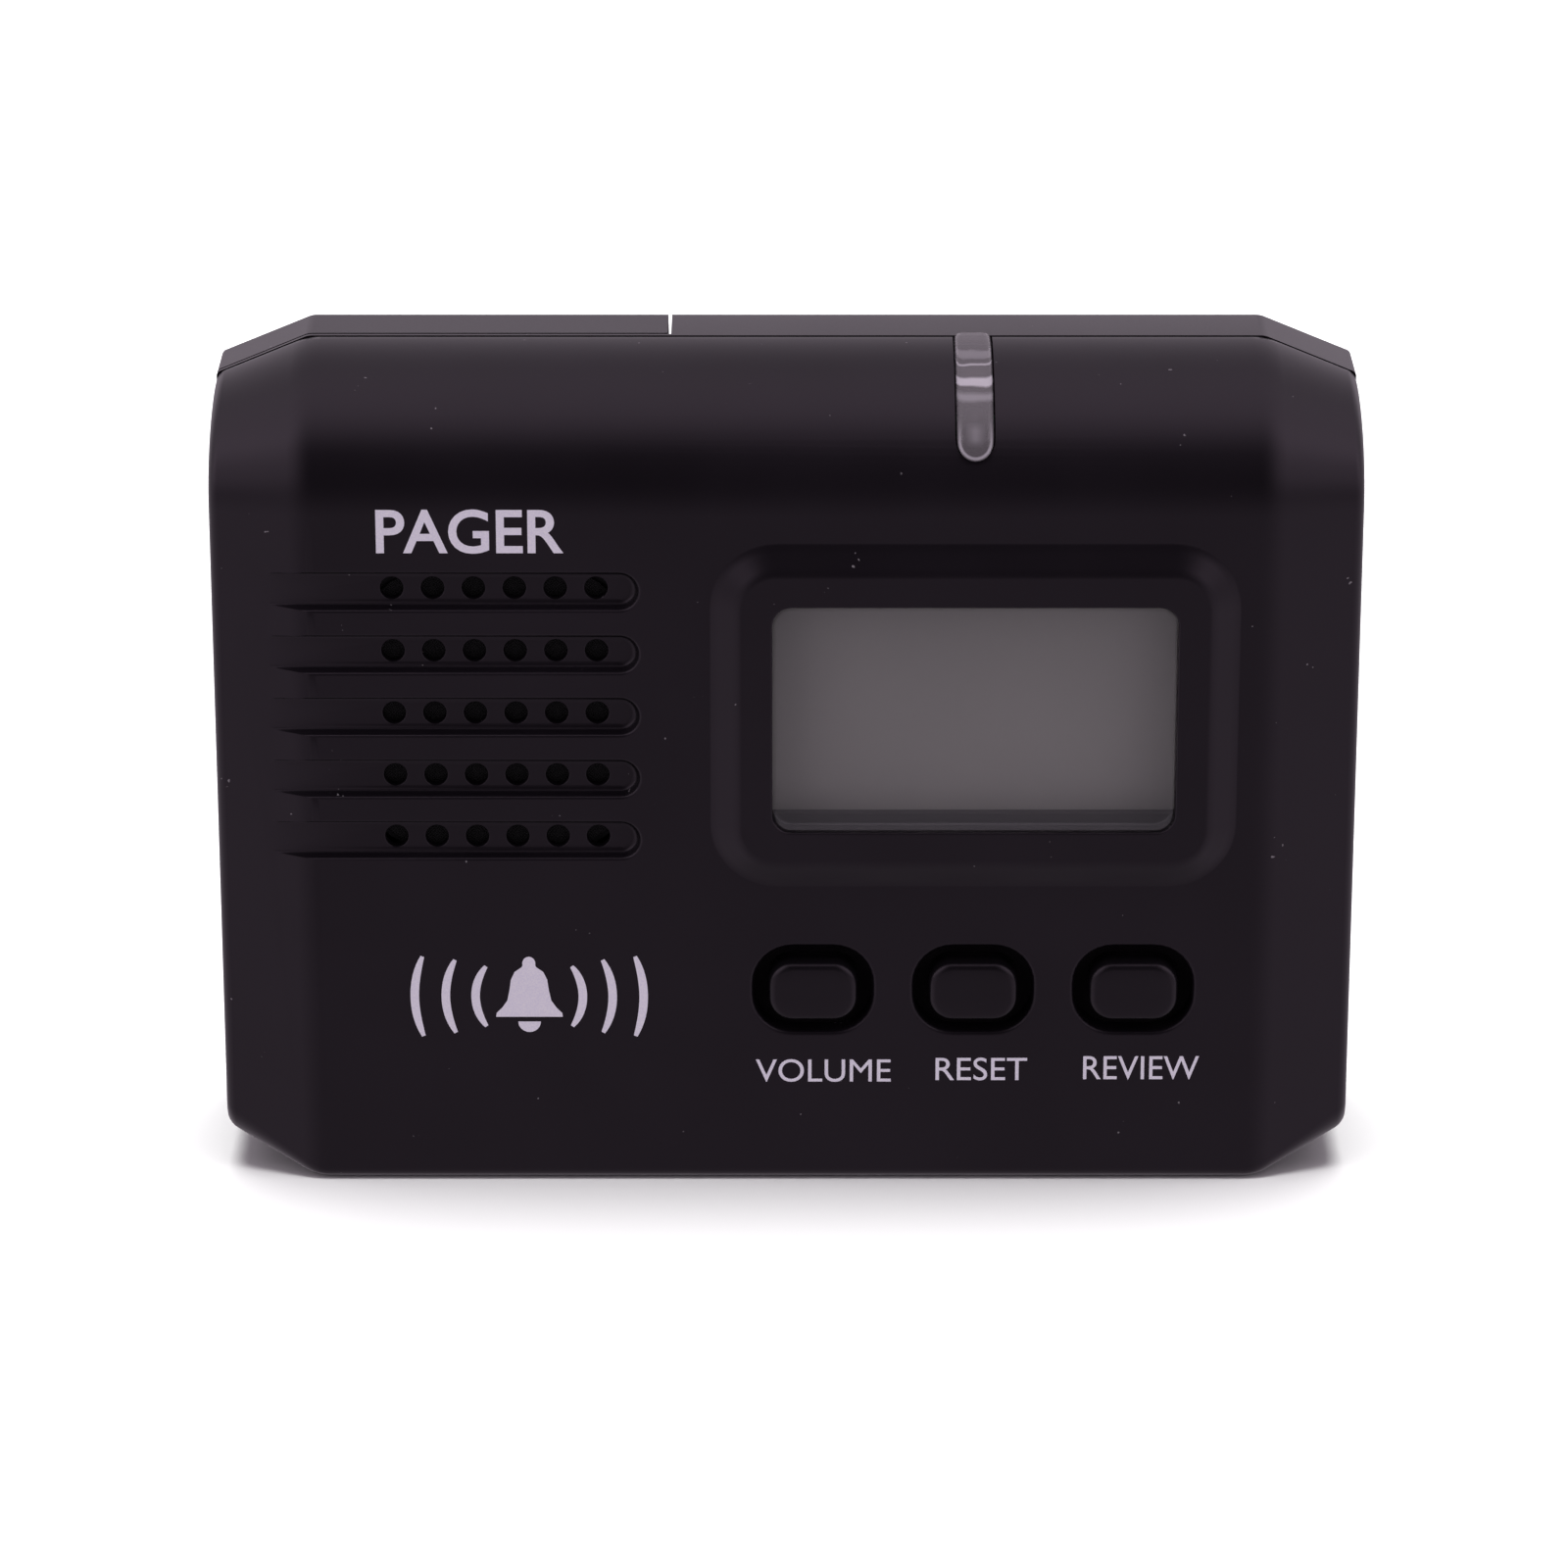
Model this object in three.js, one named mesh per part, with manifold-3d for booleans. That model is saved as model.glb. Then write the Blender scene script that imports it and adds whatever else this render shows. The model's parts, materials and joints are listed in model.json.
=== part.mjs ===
// A carer's pager: a small two-part plastic case that stands on its foot or hangs from a belt.
// Millimetres, +Z up. Inside the model x runs across the case, y = 0 is the plane where the front
// and rear shells part (the front face looks along -y) and z = 0 is the foot. The exported group
// shifts all of it along y, so that the origin is under the middle of the whole object.
import * as THREE from "three";
import { mergeVertices } from "three/addons/utils/BufferGeometryUtils.js";
import Module from "manifold-3d";

const wasm = await Module();
wasm.setup();

// ---------------------------------------------------------------- case
const CASE_WIDTH = 95;
const CASE_HEIGHT = 70;
const FRONT_DEPTH = 14.5; // parting plane to front face
const REAR_DEPTH = 8.5; // parting plane to rear face
const SHOULDER_WIDTH = 7.7; // each side: from the crease of the front face out to the side wall
const SHOULDER_DROP = 3.2; // how far the outline falls over a shoulder
const FACET_DROP = 2.6; // how far the front face falls back over a shoulder
const REAR_FACET_DROP = 0.9;
const CROWN_HEIGHT = 11.2; // height of the rounded top of the front shell
const END_CROWN_HEIGHT = 8.1;
const REAR_BAND = 6.3; // flat band of the rear shell behind the parting plane
const FOOT_RADIUS = 1.0;
const END_FOOT_RADIUS = 2.6;
const FOOT_RELIEF = 0.15; // the middle of the foot is drawn in, so the pager stands on two lands
const FOOT_LAND = 6.8;
const FRONT_WALL = 2.0;
const REAR_WALL = 1.8;
const SHELL_GAP = 0.3; // between the two shells, and round the battery door
const FIT = 0.15; // clearance of a piece that sits in its opening
const HAIR = 0.05; // between two pieces that rest on each other

// ---------------------------------------------------------------- battery bay and door
const CELL_COUNT = 3;
const CELL_DIAMETER = 10.5;
const CELL_LENGTH = 44.5;
const CELL_NUB = 1.2;
const CELL_PITCH = 10.6;
const CONTACT_THICKNESS = 0.4;
const SPRING_LENGTH = 3.4; // of a negative contact, pressed by its cell
const BAY_WALL = 1.2;
const BAY_SIDE_WALL = 1.8;
const DOOR_WALL = 1.5;
const DOOR_RIDGE = 0.8; // how far the door's ridge reaches into the side of the bay
const SHELF = 0.45; // plate round the bay that the door covers
const BAY_BOTTOM = 13.6;
const DOOR_RIBS = 5;

// ---------------------------------------------------------------- display
const WINDOW_WIDTH = 33.35;
const WINDOW_HEIGHT = 19.7;
const WINDOW_RADIUS = 1.6;
const WINDOW_CENTRE_Z = 41.55;
const PLATEAU_RISE = 1.2;
const PLATEAU_MARGIN_X = 2.85; // window edge to the edge of the plateau's flat top
const PLATEAU_MARGIN_Z = 2.8;
const PLATEAU_SLOPE = 2.15;
const PLATEAU_RADIUS = 3.2;
const LENS_SETBACK = 0.1;
const LENS_FLANGE = 0.9;
const DISPLAY_GLASS = 2.2;
const DISPLAY_LIP = 1.0;

// ---------------------------------------------------------------- keys and switches
const KEY_NAMES = ["volume", "reset", "review"];
const KEY_PITCH = 13.42;
const KEY_CENTRE_Z = 17.27;
const KEY_WIDTH = 7.4;
const KEY_HEIGHT = 5.1;
const KEY_RADIUS = 2.0;
const KEY_MARGIN = 1.27; // open ring round a key
const KEY_OPENING_RADIUS = 3.3;
const KEY_PROUD = 0.8;
const KEY_FLANGE = 0.5;
const KEY_FLANGE_LAP = 0.95; // how far a key's flange reaches behind the wall
const SWITCH_SIZE = 6;
const SWITCH_HEIGHT = 3.45;
const SWITCH_STEM_RADIUS = 1.7;

// ---------------------------------------------------------------- grille and speaker
const GROOVE_COUNT = 5;
const GROOVE_PITCH = 5.45;
const GROOVE_HEIGHT = 3.1;
const GROOVE_DEPTH = 0.75;
const GROOVE_REACH = 11.95; // of a groove's round end, right of the speaker's centre line
const HOLES_PER_GROOVE = 6;
const HOLE_PITCH = 3.36;
const HOLE_RADIUS = 0.95;
const SPEAKER_RADIUS = 14.6;
const SPEAKER_CENTRE_Z = 41.52;

// ---------------------------------------------------------------- light pipe
const PIPE_WIDTH = 3.05;
const PIPE_END_Z = 63.35; // lowest point of its rounded end
const PIPE_PROUD = 0.35;
const PIPE_THICKNESS = 2.3;

// ---------------------------------------------------------------- board
const BOARD_THICKNESS = 1.6;
const BOARD_FRONT = -7.0; // face that carries the display and the switches
const BOARD_MARGIN = 0.9; // to the inside of the side wall
const SCREW_RADIUS = 1.0;
const SCREW_HEAD_RADIUS = 2.0;
const SCREW_HEAD_HEIGHT = 1.4;
const SCREW_LENGTH = 8.5;
const BOSS_RADIUS = 3.2;
const BOARD_SCREW_LENGTH = 4.2;
const BOARD_BOSS_RADIUS = 2.2;

// ---------------------------------------------------------------- belt clip
const CLIP_WIDTH = 22;
const CLIP_GAP = 5; // room for a belt
const CLIP_THICKNESS = 1.8;
const CLIP_PIVOT_Z = 54;
const CLIP_TAB = 8; // above the pivot
const CLIP_TIP_Z = 9;
const PIN_RADIUS = 0.8;
const BARREL_RADIUS = 2.3;
const LUG_RADIUS = 2.0;
const LUG_THICKNESS = 2.4;
const CLIP_SPRING_TURNS = 5;
const CLIP_SPRING_WIRE = 0.25;

// ---------------------------------------------------------------- vibration motor
const MOTOR_RADIUS = 3.0;
const MOTOR_LENGTH = 12;
const MOTOR_Z = 11.5;
const MOTOR_Y = -0.4;
const WEIGHT_LENGTH = 4;

// ---------------------------------------------------------------- worked-out places
const HALF_WIDTH = CASE_WIDTH / 2;
const CREASE_X = HALF_WIDTH - SHOULDER_WIDTH;
const FRONT_Y = -FRONT_DEPTH;
const FRONT_INNER = FRONT_Y + FRONT_WALL;
const REAR_INNER = REAR_DEPTH - REAR_WALL;
const REAR_CHAMFER = REAR_DEPTH - REAR_BAND;
const PLATEAU_Y = FRONT_Y - PLATEAU_RISE;

const BAY_WIDTH = (CELL_COUNT - 1) * CELL_PITCH + CELL_DIAMETER + 0.3;
const BAY_LEFT = -HALF_WIDTH + DOOR_WALL + DOOR_RIDGE + BAY_SIDE_WALL;
const BAY_RIGHT = BAY_LEFT + BAY_WIDTH;
const DOOR_INNER = REAR_DEPTH - DOOR_WALL;
const cellX = (i) => BAY_LEFT + 0.15 + CELL_DIAMETER / 2 + i * CELL_PITCH;
const CELL_Y = DOOR_INNER - SHELL_GAP - CELL_DIAMETER / 2;
const BAY_FLOOR = CELL_Y - CELL_DIAMETER / 2 - 0.2;
const BAY_TOP = BAY_BOTTOM + CELL_LENGTH + 2 * CONTACT_THICKNESS + SPRING_LENGTH + 0.5;
const DOOR_RIGHT = BAY_RIGHT + BAY_WALL + 0.3;
const DOOR_BOTTOM = BAY_BOTTOM - BAY_WALL - 1.8;
const SILL = DOOR_BOTTOM - SHELL_GAP;
const SHELF_BACK = SHELL_GAP / 2 + SHELF;
const TONGUE_REACH = 2.0; // of the door's tongue under the edge of the rear shell
const TONGUE_THICKNESS = 0.6;
const PARTITION_X = DOOR_RIGHT + TONGUE_REACH + 0.4;

const SPEAKER_X = BAY_LEFT + 19.35;
const SPEAKER_RING_WALL = 1.1;
const WINDOW_X = DOOR_RIGHT / 2 + HALF_WIDTH / 2 - 3.28;
const KEYS_X = WINDOW_X + 0.13;
const PIPE_X = WINDOW_X - 0.07;
const CLIP_X = DOOR_RIGHT / 2 + HALF_WIDTH / 2 - 1.75;

const BOARD_BACK = BOARD_FRONT + BOARD_THICKNESS;
const BOARD_LEFT = SPEAKER_X + SPEAKER_RADIUS + 0.3 + SPEAKER_RING_WALL + 1.0;
const BOARD_RIGHT = HALF_WIDTH - FRONT_WALL - BOARD_MARGIN;
const BOARD_BOTTOM = SHOULDER_DROP + FRONT_WALL;
const BOARD_TOP = CASE_HEIGHT - BOARD_BOTTOM;

const LENS_FRONT = PLATEAU_Y + LENS_SETBACK;
const LENS_POCKET = PLATEAU_Y + FRONT_WALL;
const LENS_BACK = LENS_POCKET + 0.1 + LENS_FLANGE;
const DISPLAY_FRAME_FRONT = LENS_BACK + 0.3;
const GLASS_FRONT = DISPLAY_FRAME_FRONT + DISPLAY_LIP + 0.1;
const GLASS_BACK = GLASS_FRONT + DISPLAY_GLASS;

const SWITCH_TOP = BOARD_FRONT - HAIR - SWITCH_HEIGHT;
const KEY_FLANGE_FRONT = FRONT_INNER + FIT;
const KEY_BACK = KEY_FLANGE_FRONT + KEY_FLANGE;
const STEM_TOP = KEY_BACK + HAIR;
const SWITCH_WELL = 1.5; // depth of the stem's hole

const CLIP_INNER = REAR_DEPTH + CLIP_GAP;
const CLIP_OUTER = CLIP_INNER + CLIP_THICKNESS;
const PIVOT_Y = CLIP_INNER - BARREL_RADIUS;
const LUG_INNER = CLIP_WIDTH / 2 - LUG_THICKNESS - 0.6; // from the clip's middle
const MOTOR_X = KEYS_X - 2.5; // left end of the can

const CASE_SCREWS = [
  [-CREASE_X - 1.2, SHOULDER_DROP + 3.8],
  [CREASE_X + 1.2, SHOULDER_DROP + 3.8],
  [CREASE_X + 1.2, CASE_HEIGHT - SHOULDER_DROP - 4.8],
  [PARTITION_X + BAY_WALL + 1.9, CASE_HEIGHT - SHOULDER_DROP - 4.8],
];
const BOARD_SCREWS = [
  [CREASE_X + 0.7, KEY_CENTRE_Z + 6.7],
  [CREASE_X + 0.7, WINDOW_CENTRE_Z + 8.5],
  [PARTITION_X + 12.6, CASE_HEIGHT - CROWN_HEIGHT + 0.8],
];

// ---------------------------------------------------------------- finishes
const paint = (color, roughness, metalness = 0, extra = {}) =>
  new THREE.MeshStandardMaterial({ color, roughness, metalness, ...extra });
const clear = { transparent: true, opacity: 0.35 };
const FINISH = {
  case: paint(0x1a171b, 0.55),
  key: paint(0x1c191d, 0.5),
  lens: paint(0xd8d6dc, 0.05, 0, clear),
  pipe: paint(0xc9c4cc, 0.15, 0, clear),
  glass: paint(0x6e6c6a, 0.3),
  holder: paint(0x2a282b, 0.6),
  zebra: paint(0xd4549a, 0.7),
  board: paint(0x1d5a34, 0.45),
  chip: paint(0x18181a, 0.5),
  tin: paint(0xb9bcc0, 0.3, 1),
  steel: paint(0xa9abb0, 0.35, 1),
  spring: paint(0xc8cacd, 0.3, 1),
  copper: paint(0xc77b3a, 0.35, 1),
  cone: paint(0x2b2a2c, 0.8),
  foam: paint(0x1b1b1c, 0.95),
  mesh: paint(0x111112, 0.9),
  rubber: paint(0x202022, 0.85),
  led: paint(0xe9e4dc, 0.2, 0, clear),
  cell: paint(0x2f6d4c, 0.35),
  capacitor: paint(0x22304e, 0.4),
  red: paint(0xb02a22, 0.5),
  black: paint(0x161616, 0.5),
};

// ---------------------------------------------------------------- solids
// A closed three.js geometry as a manifold-3d solid that faces outwards.
function solid(geometry) {
  geometry.deleteAttribute("normal");
  geometry.deleteAttribute("uv");
  const merged = mergeVertices(geometry, 1e-4);
  const triVerts = new Uint32Array(merged.index.array);
  const vertProperties = merged.attributes.position.array;
  const made = new wasm.Manifold(new wasm.Mesh({ numProp: 3, vertProperties, triVerts }));
  if (made.volume() > 0) return made;
  for (let i = 0; i < triVerts.length; i += 3)
    [triVerts[i + 1], triVerts[i + 2]] = [triVerts[i + 2], triVerts[i + 1]];
  return new wasm.Manifold(new wasm.Mesh({ numProp: 3, vertProperties, triVerts }));
}

// A manifold-3d solid back as a three.js geometry.
function geometryOf(made) {
  const mesh = made.getMesh();
  const geometry = new THREE.BufferGeometry();
  const positions = new Float32Array(mesh.numVert * 3);
  for (let i = 0; i < mesh.numVert; i++)
    positions.set(mesh.vertProperties.subarray(i * mesh.numProp, i * mesh.numProp + 3), i * 3);
  geometry.setAttribute("position", new THREE.BufferAttribute(positions, 3));
  geometry.setIndex(new THREE.BufferAttribute(mesh.triVerts, 1));
  geometry.computeVertexNormals();
  return geometry;
}

const union = (...solids) => solids.reduce((all, one) => all.add(one));

function block(x0, x1, y0, y1, z0, z1) {
  const box = new THREE.BoxGeometry(x1 - x0, y1 - y0, z1 - z0);
  return solid(box.translate((x0 + x1) / 2, (y0 + y1) / 2, (z0 + z1) / 2));
}

// A round bar along y, x or z.
function rodY(radius, y0, y1, x, z, sides = 20) {
  const rod = new THREE.CylinderGeometry(radius, radius, y1 - y0, sides);
  return solid(rod.translate(x, (y0 + y1) / 2, z));
}

function rodX(radius, x0, x1, y, z, sides = 20) {
  const rod = new THREE.CylinderGeometry(radius, radius, x1 - x0, sides).rotateZ(Math.PI / 2);
  return solid(rod.translate((x0 + x1) / 2, y, z));
}

function rodZ(radius, z0, z1, x = 0, y = 0, sides = 20) {
  const rod = new THREE.CylinderGeometry(radius, radius, z1 - z0, sides).rotateX(Math.PI / 2);
  return solid(rod.translate(x, y, (z0 + z1) / 2));
}

// A turned piece about the y axis, from [radius, y] pairs that start and end on the axis or close.
function turned(pairs, sides = 28) {
  const profile = pairs.map(([radius, y]) => new THREE.Vector2(radius, y));
  return solid(new THREE.LatheGeometry(profile, sides));
}

function roundedRectangle(width, height, radius, x = 0, z = 0) {
  const shape = new THREE.Shape();
  const w = width / 2 - radius;
  const h = height / 2 - radius;
  shape.absarc(x + w, z + h, radius, 0, Math.PI / 2);
  shape.absarc(x - w, z + h, radius, Math.PI / 2, Math.PI);
  shape.absarc(x - w, z - h, radius, Math.PI, 1.5 * Math.PI);
  shape.absarc(x + w, z - h, radius, 1.5 * Math.PI, 2 * Math.PI);
  return shape.closePath();
}

// A flat shape drawn in x and z, as a plate from y0 to y1.
function plateY(shape, y0, y1, curveSegments = 6) {
  const options = { depth: y1 - y0, bevelEnabled: false, curveSegments };
  return solid(new THREE.ExtrudeGeometry(shape, options).rotateX(Math.PI / 2).translate(0, y1, 0));
}

// A flat shape drawn in y and z, as a plate from x0 to x1.
function plateX(shape, x0, x1, curveSegments = 8) {
  const options = { depth: x1 - x0, bevelEnabled: false, curveSegments };
  const turn = new THREE.Matrix4().makeBasis(
    new THREE.Vector3(0, 1, 0),
    new THREE.Vector3(0, 0, 1),
    new THREE.Vector3(1, 0, 0),
  );
  return solid(new THREE.ExtrudeGeometry(shape, options).applyMatrix4(turn).translate(x0, 0, 0));
}

// A skin over rings of equally many points, closed by a fan at each end.
function loft(rings) {
  const count = rings[0].length;
  const points = rings.flat();
  const faces = [];
  for (let r = 0; r + 1 < rings.length; r++)
    for (let i = 0; i < count; i++) {
      const a = r * count + i;
      const b = r * count + ((i + 1) % count);
      faces.push(a, b, b + count, a, b + count, a + count);
    }
  const last = (rings.length - 1) * count;
  for (let i = 1; i + 1 < count; i++) faces.push(0, i + 1, i, last, last + i, last + i + 1);
  const geometry = new THREE.BufferGeometry().setFromPoints(points);
  geometry.setIndex(faces);
  return solid(geometry);
}

// A round wire along a curve.
function wire(curve, radius, steps, sides = 8) {
  const section = new THREE.Shape().absarc(0, 0, radius, 0, 2 * Math.PI);
  const options = { steps, extrudePath: curve, curveSegments: sides };
  return solid(new THREE.ExtrudeGeometry(section, options));
}

const through = (points) =>
  new THREE.CatmullRomCurve3(
    points.map((p) => new THREE.Vector3(...p)),
    false,
    "centripetal",
  );

// ---------------------------------------------------------------- the outline of the case
// One cross-section of the case at x, drawn in y and z and drawn in by `inset`.
function caseRing(x, drop, inset, crown, footRadius, frontDrop, rearDrop) {
  const front = FRONT_Y + frontDrop + inset;
  const rear = REAR_DEPTH - rearDrop - inset;
  const top = CASE_HEIGHT - drop - inset;
  const bottom = drop + inset;
  const radius = Math.max(footRadius - inset, 0.25);
  const chamfer = (REAR_CHAMFER - rearDrop) * 1 - 0.586 * inset;
  const band = rear - chamfer;
  const ring = [];
  const point = (y, z) => ring.push(new THREE.Vector3(x, y, z));
  const footSteps = 4;
  for (let i = 0; i <= footSteps; i++) {
    const a = Math.PI + (i / footSteps) * (Math.PI / 2);
    point(front + radius + radius * Math.cos(a), bottom + radius + radius * Math.sin(a));
  }
  point(band, bottom);
  point(rear, bottom + chamfer);
  point(rear, top - chamfer);
  point(band, top);
  const crownSteps = 12;
  const rise = crown - inset;
  for (let i = 0; i <= crownSteps; i++) {
    const a = (i / crownSteps) * (Math.PI / 2);
    point(front * Math.sin(a), top - rise + rise * Math.cos(a));
  }
  return ring;
}

// The whole case as one solid, with every face drawn in by `inset`.
function caseSolid(inset) {
  const middle = (x) => caseRing(x, 0, inset, CROWN_HEIGHT, FOOT_RADIUS, 0, 0);
  const end = (x) =>
    caseRing(x, SHOULDER_DROP, inset, END_CROWN_HEIGHT, END_FOOT_RADIUS, FACET_DROP, REAR_FACET_DROP);
  const crease = CREASE_X - 0.2 * inset;
  const side = HALF_WIDTH - inset;
  return loft([end(-side), middle(-crease), middle(crease), end(side)]);
}

const FAR = 2 * (CASE_WIDTH + CASE_HEIGHT);
const ahead = (y) => block(-FAR, FAR, -FAR, y, -FAR, FAR);
const behind = (y) => block(-FAR, FAR, y, FAR, -FAR, FAR);

// ---------------------------------------------------------------- front shell
function plateauRing(grow, y) {
  const width = WINDOW_WIDTH + 2 * (PLATEAU_MARGIN_X + grow);
  const height = WINDOW_HEIGHT + 2 * (PLATEAU_MARGIN_Z + grow);
  const shape = roundedRectangle(width, height, PLATEAU_RADIUS + grow, WINDOW_X, WINDOW_CENTRE_Z);
  return shape.getPoints(5).slice(0, -1).map((p) => new THREE.Vector3(p.x, y, p.y));
}

function plateau() {
  const foot = plateauRing(PLATEAU_SLOPE, FRONT_Y);
  return loft([plateauRing(PLATEAU_SLOPE, FRONT_INNER), foot, plateauRing(0, PLATEAU_Y)]);
}

const windowShape = (grow) =>
  roundedRectangle(
    WINDOW_WIDTH + 2 * grow,
    WINDOW_HEIGHT + 2 * grow,
    WINDOW_RADIUS + grow,
    WINDOW_X,
    WINDOW_CENTRE_Z,
  );

const grooveZ = (row) => SPEAKER_CENTRE_Z + ((GROOVE_COUNT - 1) / 2 - row) * GROOVE_PITCH;

// A groove has a round right end and runs out through the left facet.
function groove(row) {
  const z = grooveZ(row);
  const half = GROOVE_HEIGHT / 2;
  const shape = new THREE.Shape();
  shape.moveTo(-HALF_WIDTH - 1, z - half);
  shape.absarc(SPEAKER_X + GROOVE_REACH - half, z, half, -Math.PI / 2, Math.PI / 2);
  shape.lineTo(-HALF_WIDTH - 1, z + half);
  shape.closePath();
  return plateY(shape, FRONT_Y - 1, FRONT_Y + GROOVE_DEPTH);
}

function grilleHoles() {
  const holes = [];
  for (let row = 0; row < GROOVE_COUNT; row++)
    for (let column = 0; column < HOLES_PER_GROOVE; column++) {
      const x = SPEAKER_X + (column - (HOLES_PER_GROOVE - 1) / 2) * HOLE_PITCH;
      holes.push(rodY(HOLE_RADIUS, FRONT_Y - 1, FRONT_INNER + 1, x, grooveZ(row), 12));
    }
  return union(...holes);
}

const keyX = (i) => KEYS_X + (i - (KEY_NAMES.length - 1) / 2) * KEY_PITCH;

function keyOpening(i) {
  const width = KEY_WIDTH + 2 * KEY_MARGIN;
  const height = KEY_HEIGHT + 2 * KEY_MARGIN;
  const shape = roundedRectangle(width, height, KEY_OPENING_RADIUS, keyX(i), KEY_CENTRE_Z);
  return plateY(shape, FRONT_Y - 1, FRONT_INNER + 1, 5);
}

// The light pipe seen from the front: a strip with a round lower end.
function pipeOutline(grow) {
  const half = PIPE_WIDTH / 2 + grow;
  const shape = new THREE.Shape();
  shape.absarc(PIPE_X, PIPE_END_Z + PIPE_WIDTH / 2, half, Math.PI, 2 * Math.PI);
  shape.lineTo(PIPE_X + half, CASE_HEIGHT + 2);
  shape.lineTo(PIPE_X - half, CASE_HEIGHT + 2);
  return shape.closePath();
}

const inFrontShell = () => caseSolid(0.5).intersect(ahead(-SHELL_GAP / 2));

function caseBosses() {
  const tubes = CASE_SCREWS.map(([x, z]) => rodY(BOSS_RADIUS, FRONT_Y, 0, x, z));
  return union(...tubes).intersect(inFrontShell());
}

function boardBosses() {
  const end = BOARD_FRONT - HAIR;
  const posts = BOARD_SCREWS.map(([x, z]) => rodY(BOARD_BOSS_RADIUS, FRONT_Y, end, x, z, 16));
  return union(...posts).intersect(inFrontShell());
}

function speakerRing() {
  const inner = SPEAKER_RADIUS + 0.3;
  const outer = inner + SPEAKER_RING_WALL;
  const ring = rodY(outer, FRONT_INNER - 0.5, BOARD_FRONT, SPEAKER_X, SPEAKER_CENTRE_Z, 32);
  const hole = rodY(inner, FRONT_INNER - 1, 0, SPEAKER_X, SPEAKER_CENTRE_Z, 32);
  return ring.subtract(hole).intersect(inFrontShell());
}

// A solid without the empty slivers that cuts between nearly equal faces can leave.
const whole = (solid) => union(...solid.decompose().filter((piece) => piece.volume() > 0.001));

// The shallow recess under the middle of the foot.
const footRelief = () => block(FOOT_LAND - CREASE_X, CREASE_X - FOOT_LAND, -FAR, FAR, -1, FOOT_RELIEF);

function frontShell() {
  let shell = caseSolid(0).intersect(ahead(-SHELL_GAP / 2)).subtract(caseSolid(FRONT_WALL));
  shell = union(shell, plateau(), caseBosses(), boardBosses(), speakerRing());
  shell = shell.subtract(plateY(windowShape(2.2), LENS_POCKET, FRONT_INNER + 1));
  shell = shell.subtract(plateY(windowShape(0), PLATEAU_Y - 1, LENS_POCKET + 1));
  for (let row = 0; row < GROOVE_COUNT; row++) shell = shell.subtract(groove(row));
  shell = shell.subtract(grilleHoles());
  KEY_NAMES.forEach((_, i) => (shell = shell.subtract(keyOpening(i))));
  shell = shell.subtract(plateY(pipeOutline(FIT), FRONT_Y - 1, 1));
  for (const [x, z] of CASE_SCREWS)
    shell = shell.subtract(rodY(SCREW_RADIUS + 0.1, SEAT_Y - SCREW_LENGTH - 0.6, 1, x, z, 12));
  for (const [x, z] of BOARD_SCREWS)
    shell = shell.subtract(rodY(SCREW_RADIUS + 0.1, BOARD_FRONT - 3, 1, x, z, 12));
  return whole(shell.subtract(footRelief()));
}

// ---------------------------------------------------------------- rear shell
const SEAT_Y = 2.4; // where a case screw's head sits

// Everything of the case that the battery door stands over, grown to the right by `side`.
const doorSpace = (side, bottom) => block(-FAR, DOOR_RIGHT + side, SHELF_BACK, FAR, bottom, FAR);

function batteryTray() {
  const walls = block(
    BAY_LEFT - BAY_SIDE_WALL,
    BAY_RIGHT + BAY_WALL,
    BAY_FLOOR - BAY_WALL,
    DOOR_INNER - SHELL_GAP,
    BAY_BOTTOM - BAY_WALL,
    BAY_TOP + BAY_WALL,
  );
  const lowRight = block(
    BAY_RIGHT,
    FAR,
    DOOR_INNER - 2 * SHELL_GAP - TONGUE_THICKNESS - 0.3,
    FAR,
    -FAR,
    FAR,
  );
  return walls.subtract(lowRight).intersect(caseSolid(DOOR_WALL + SHELL_GAP));
}

const bayRoom = () => block(BAY_LEFT, BAY_RIGHT, BAY_FLOOR, FAR, BAY_BOTTOM, BAY_TOP);

// The groove in the side of the bay that takes the door's ridge.
const ridgeGroove = () =>
  block(
    BAY_LEFT - BAY_SIDE_WALL - 1,
    BAY_LEFT - BAY_SIDE_WALL + DOOR_RIDGE,
    CELL_Y - RIDGE_HALF - 0.2,
    CELL_Y + RIDGE_HALF + 0.2,
    DOOR_BOTTOM - 1,
    FAR,
  );

// Each end of the row of cells has a lead, which leaves through a hole under its contact.
const LEAD_HOLE_Y = CELL_Y - 3.3;
const leadHoles = () =>
  rodZ(0.65, BAY_BOTTOM - BAY_WALL - 1, BAY_BOTTOM + 1, cellX(0), LEAD_HOLE_Y, 12).add(
    rodZ(0.65, BAY_TOP - 1, BAY_TOP + BAY_WALL + 1, cellX(2), LEAD_HOLE_Y, 12),
  );

function clipLug(side) {
  const inner = CLIP_X + side * LUG_INNER;
  const outer = inner + side * LUG_THICKNESS;
  const x0 = Math.min(inner, outer);
  const x1 = Math.max(inner, outer);
  const z0 = CLIP_PIVOT_Z - LUG_RADIUS;
  const z1 = CLIP_PIVOT_Z + LUG_RADIUS;
  const ear = rodX(LUG_RADIUS, x0, x1, PIVOT_Y, CLIP_PIVOT_Z);
  return ear.add(block(x0, x1, REAR_INNER + 0.5, PIVOT_Y, z0, z1));
}

// A rib that carries the motor's rubber sleeve.
function motorCradle() {
  const rib = block(
    MOTOR_X + 2.5,
    MOTOR_X + MOTOR_LENGTH - 2.5,
    SHELL_GAP,
    REAR_INNER + 0.5,
    REAR_WALL - 0.5,
    MOTOR_Z,
  );
  const sleeve = MOTOR_RADIUS + 1.3;
  return rib.subtract(rodX(sleeve, MOTOR_X, MOTOR_X + MOTOR_LENGTH, MOTOR_Y, MOTOR_Z));
}

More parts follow.
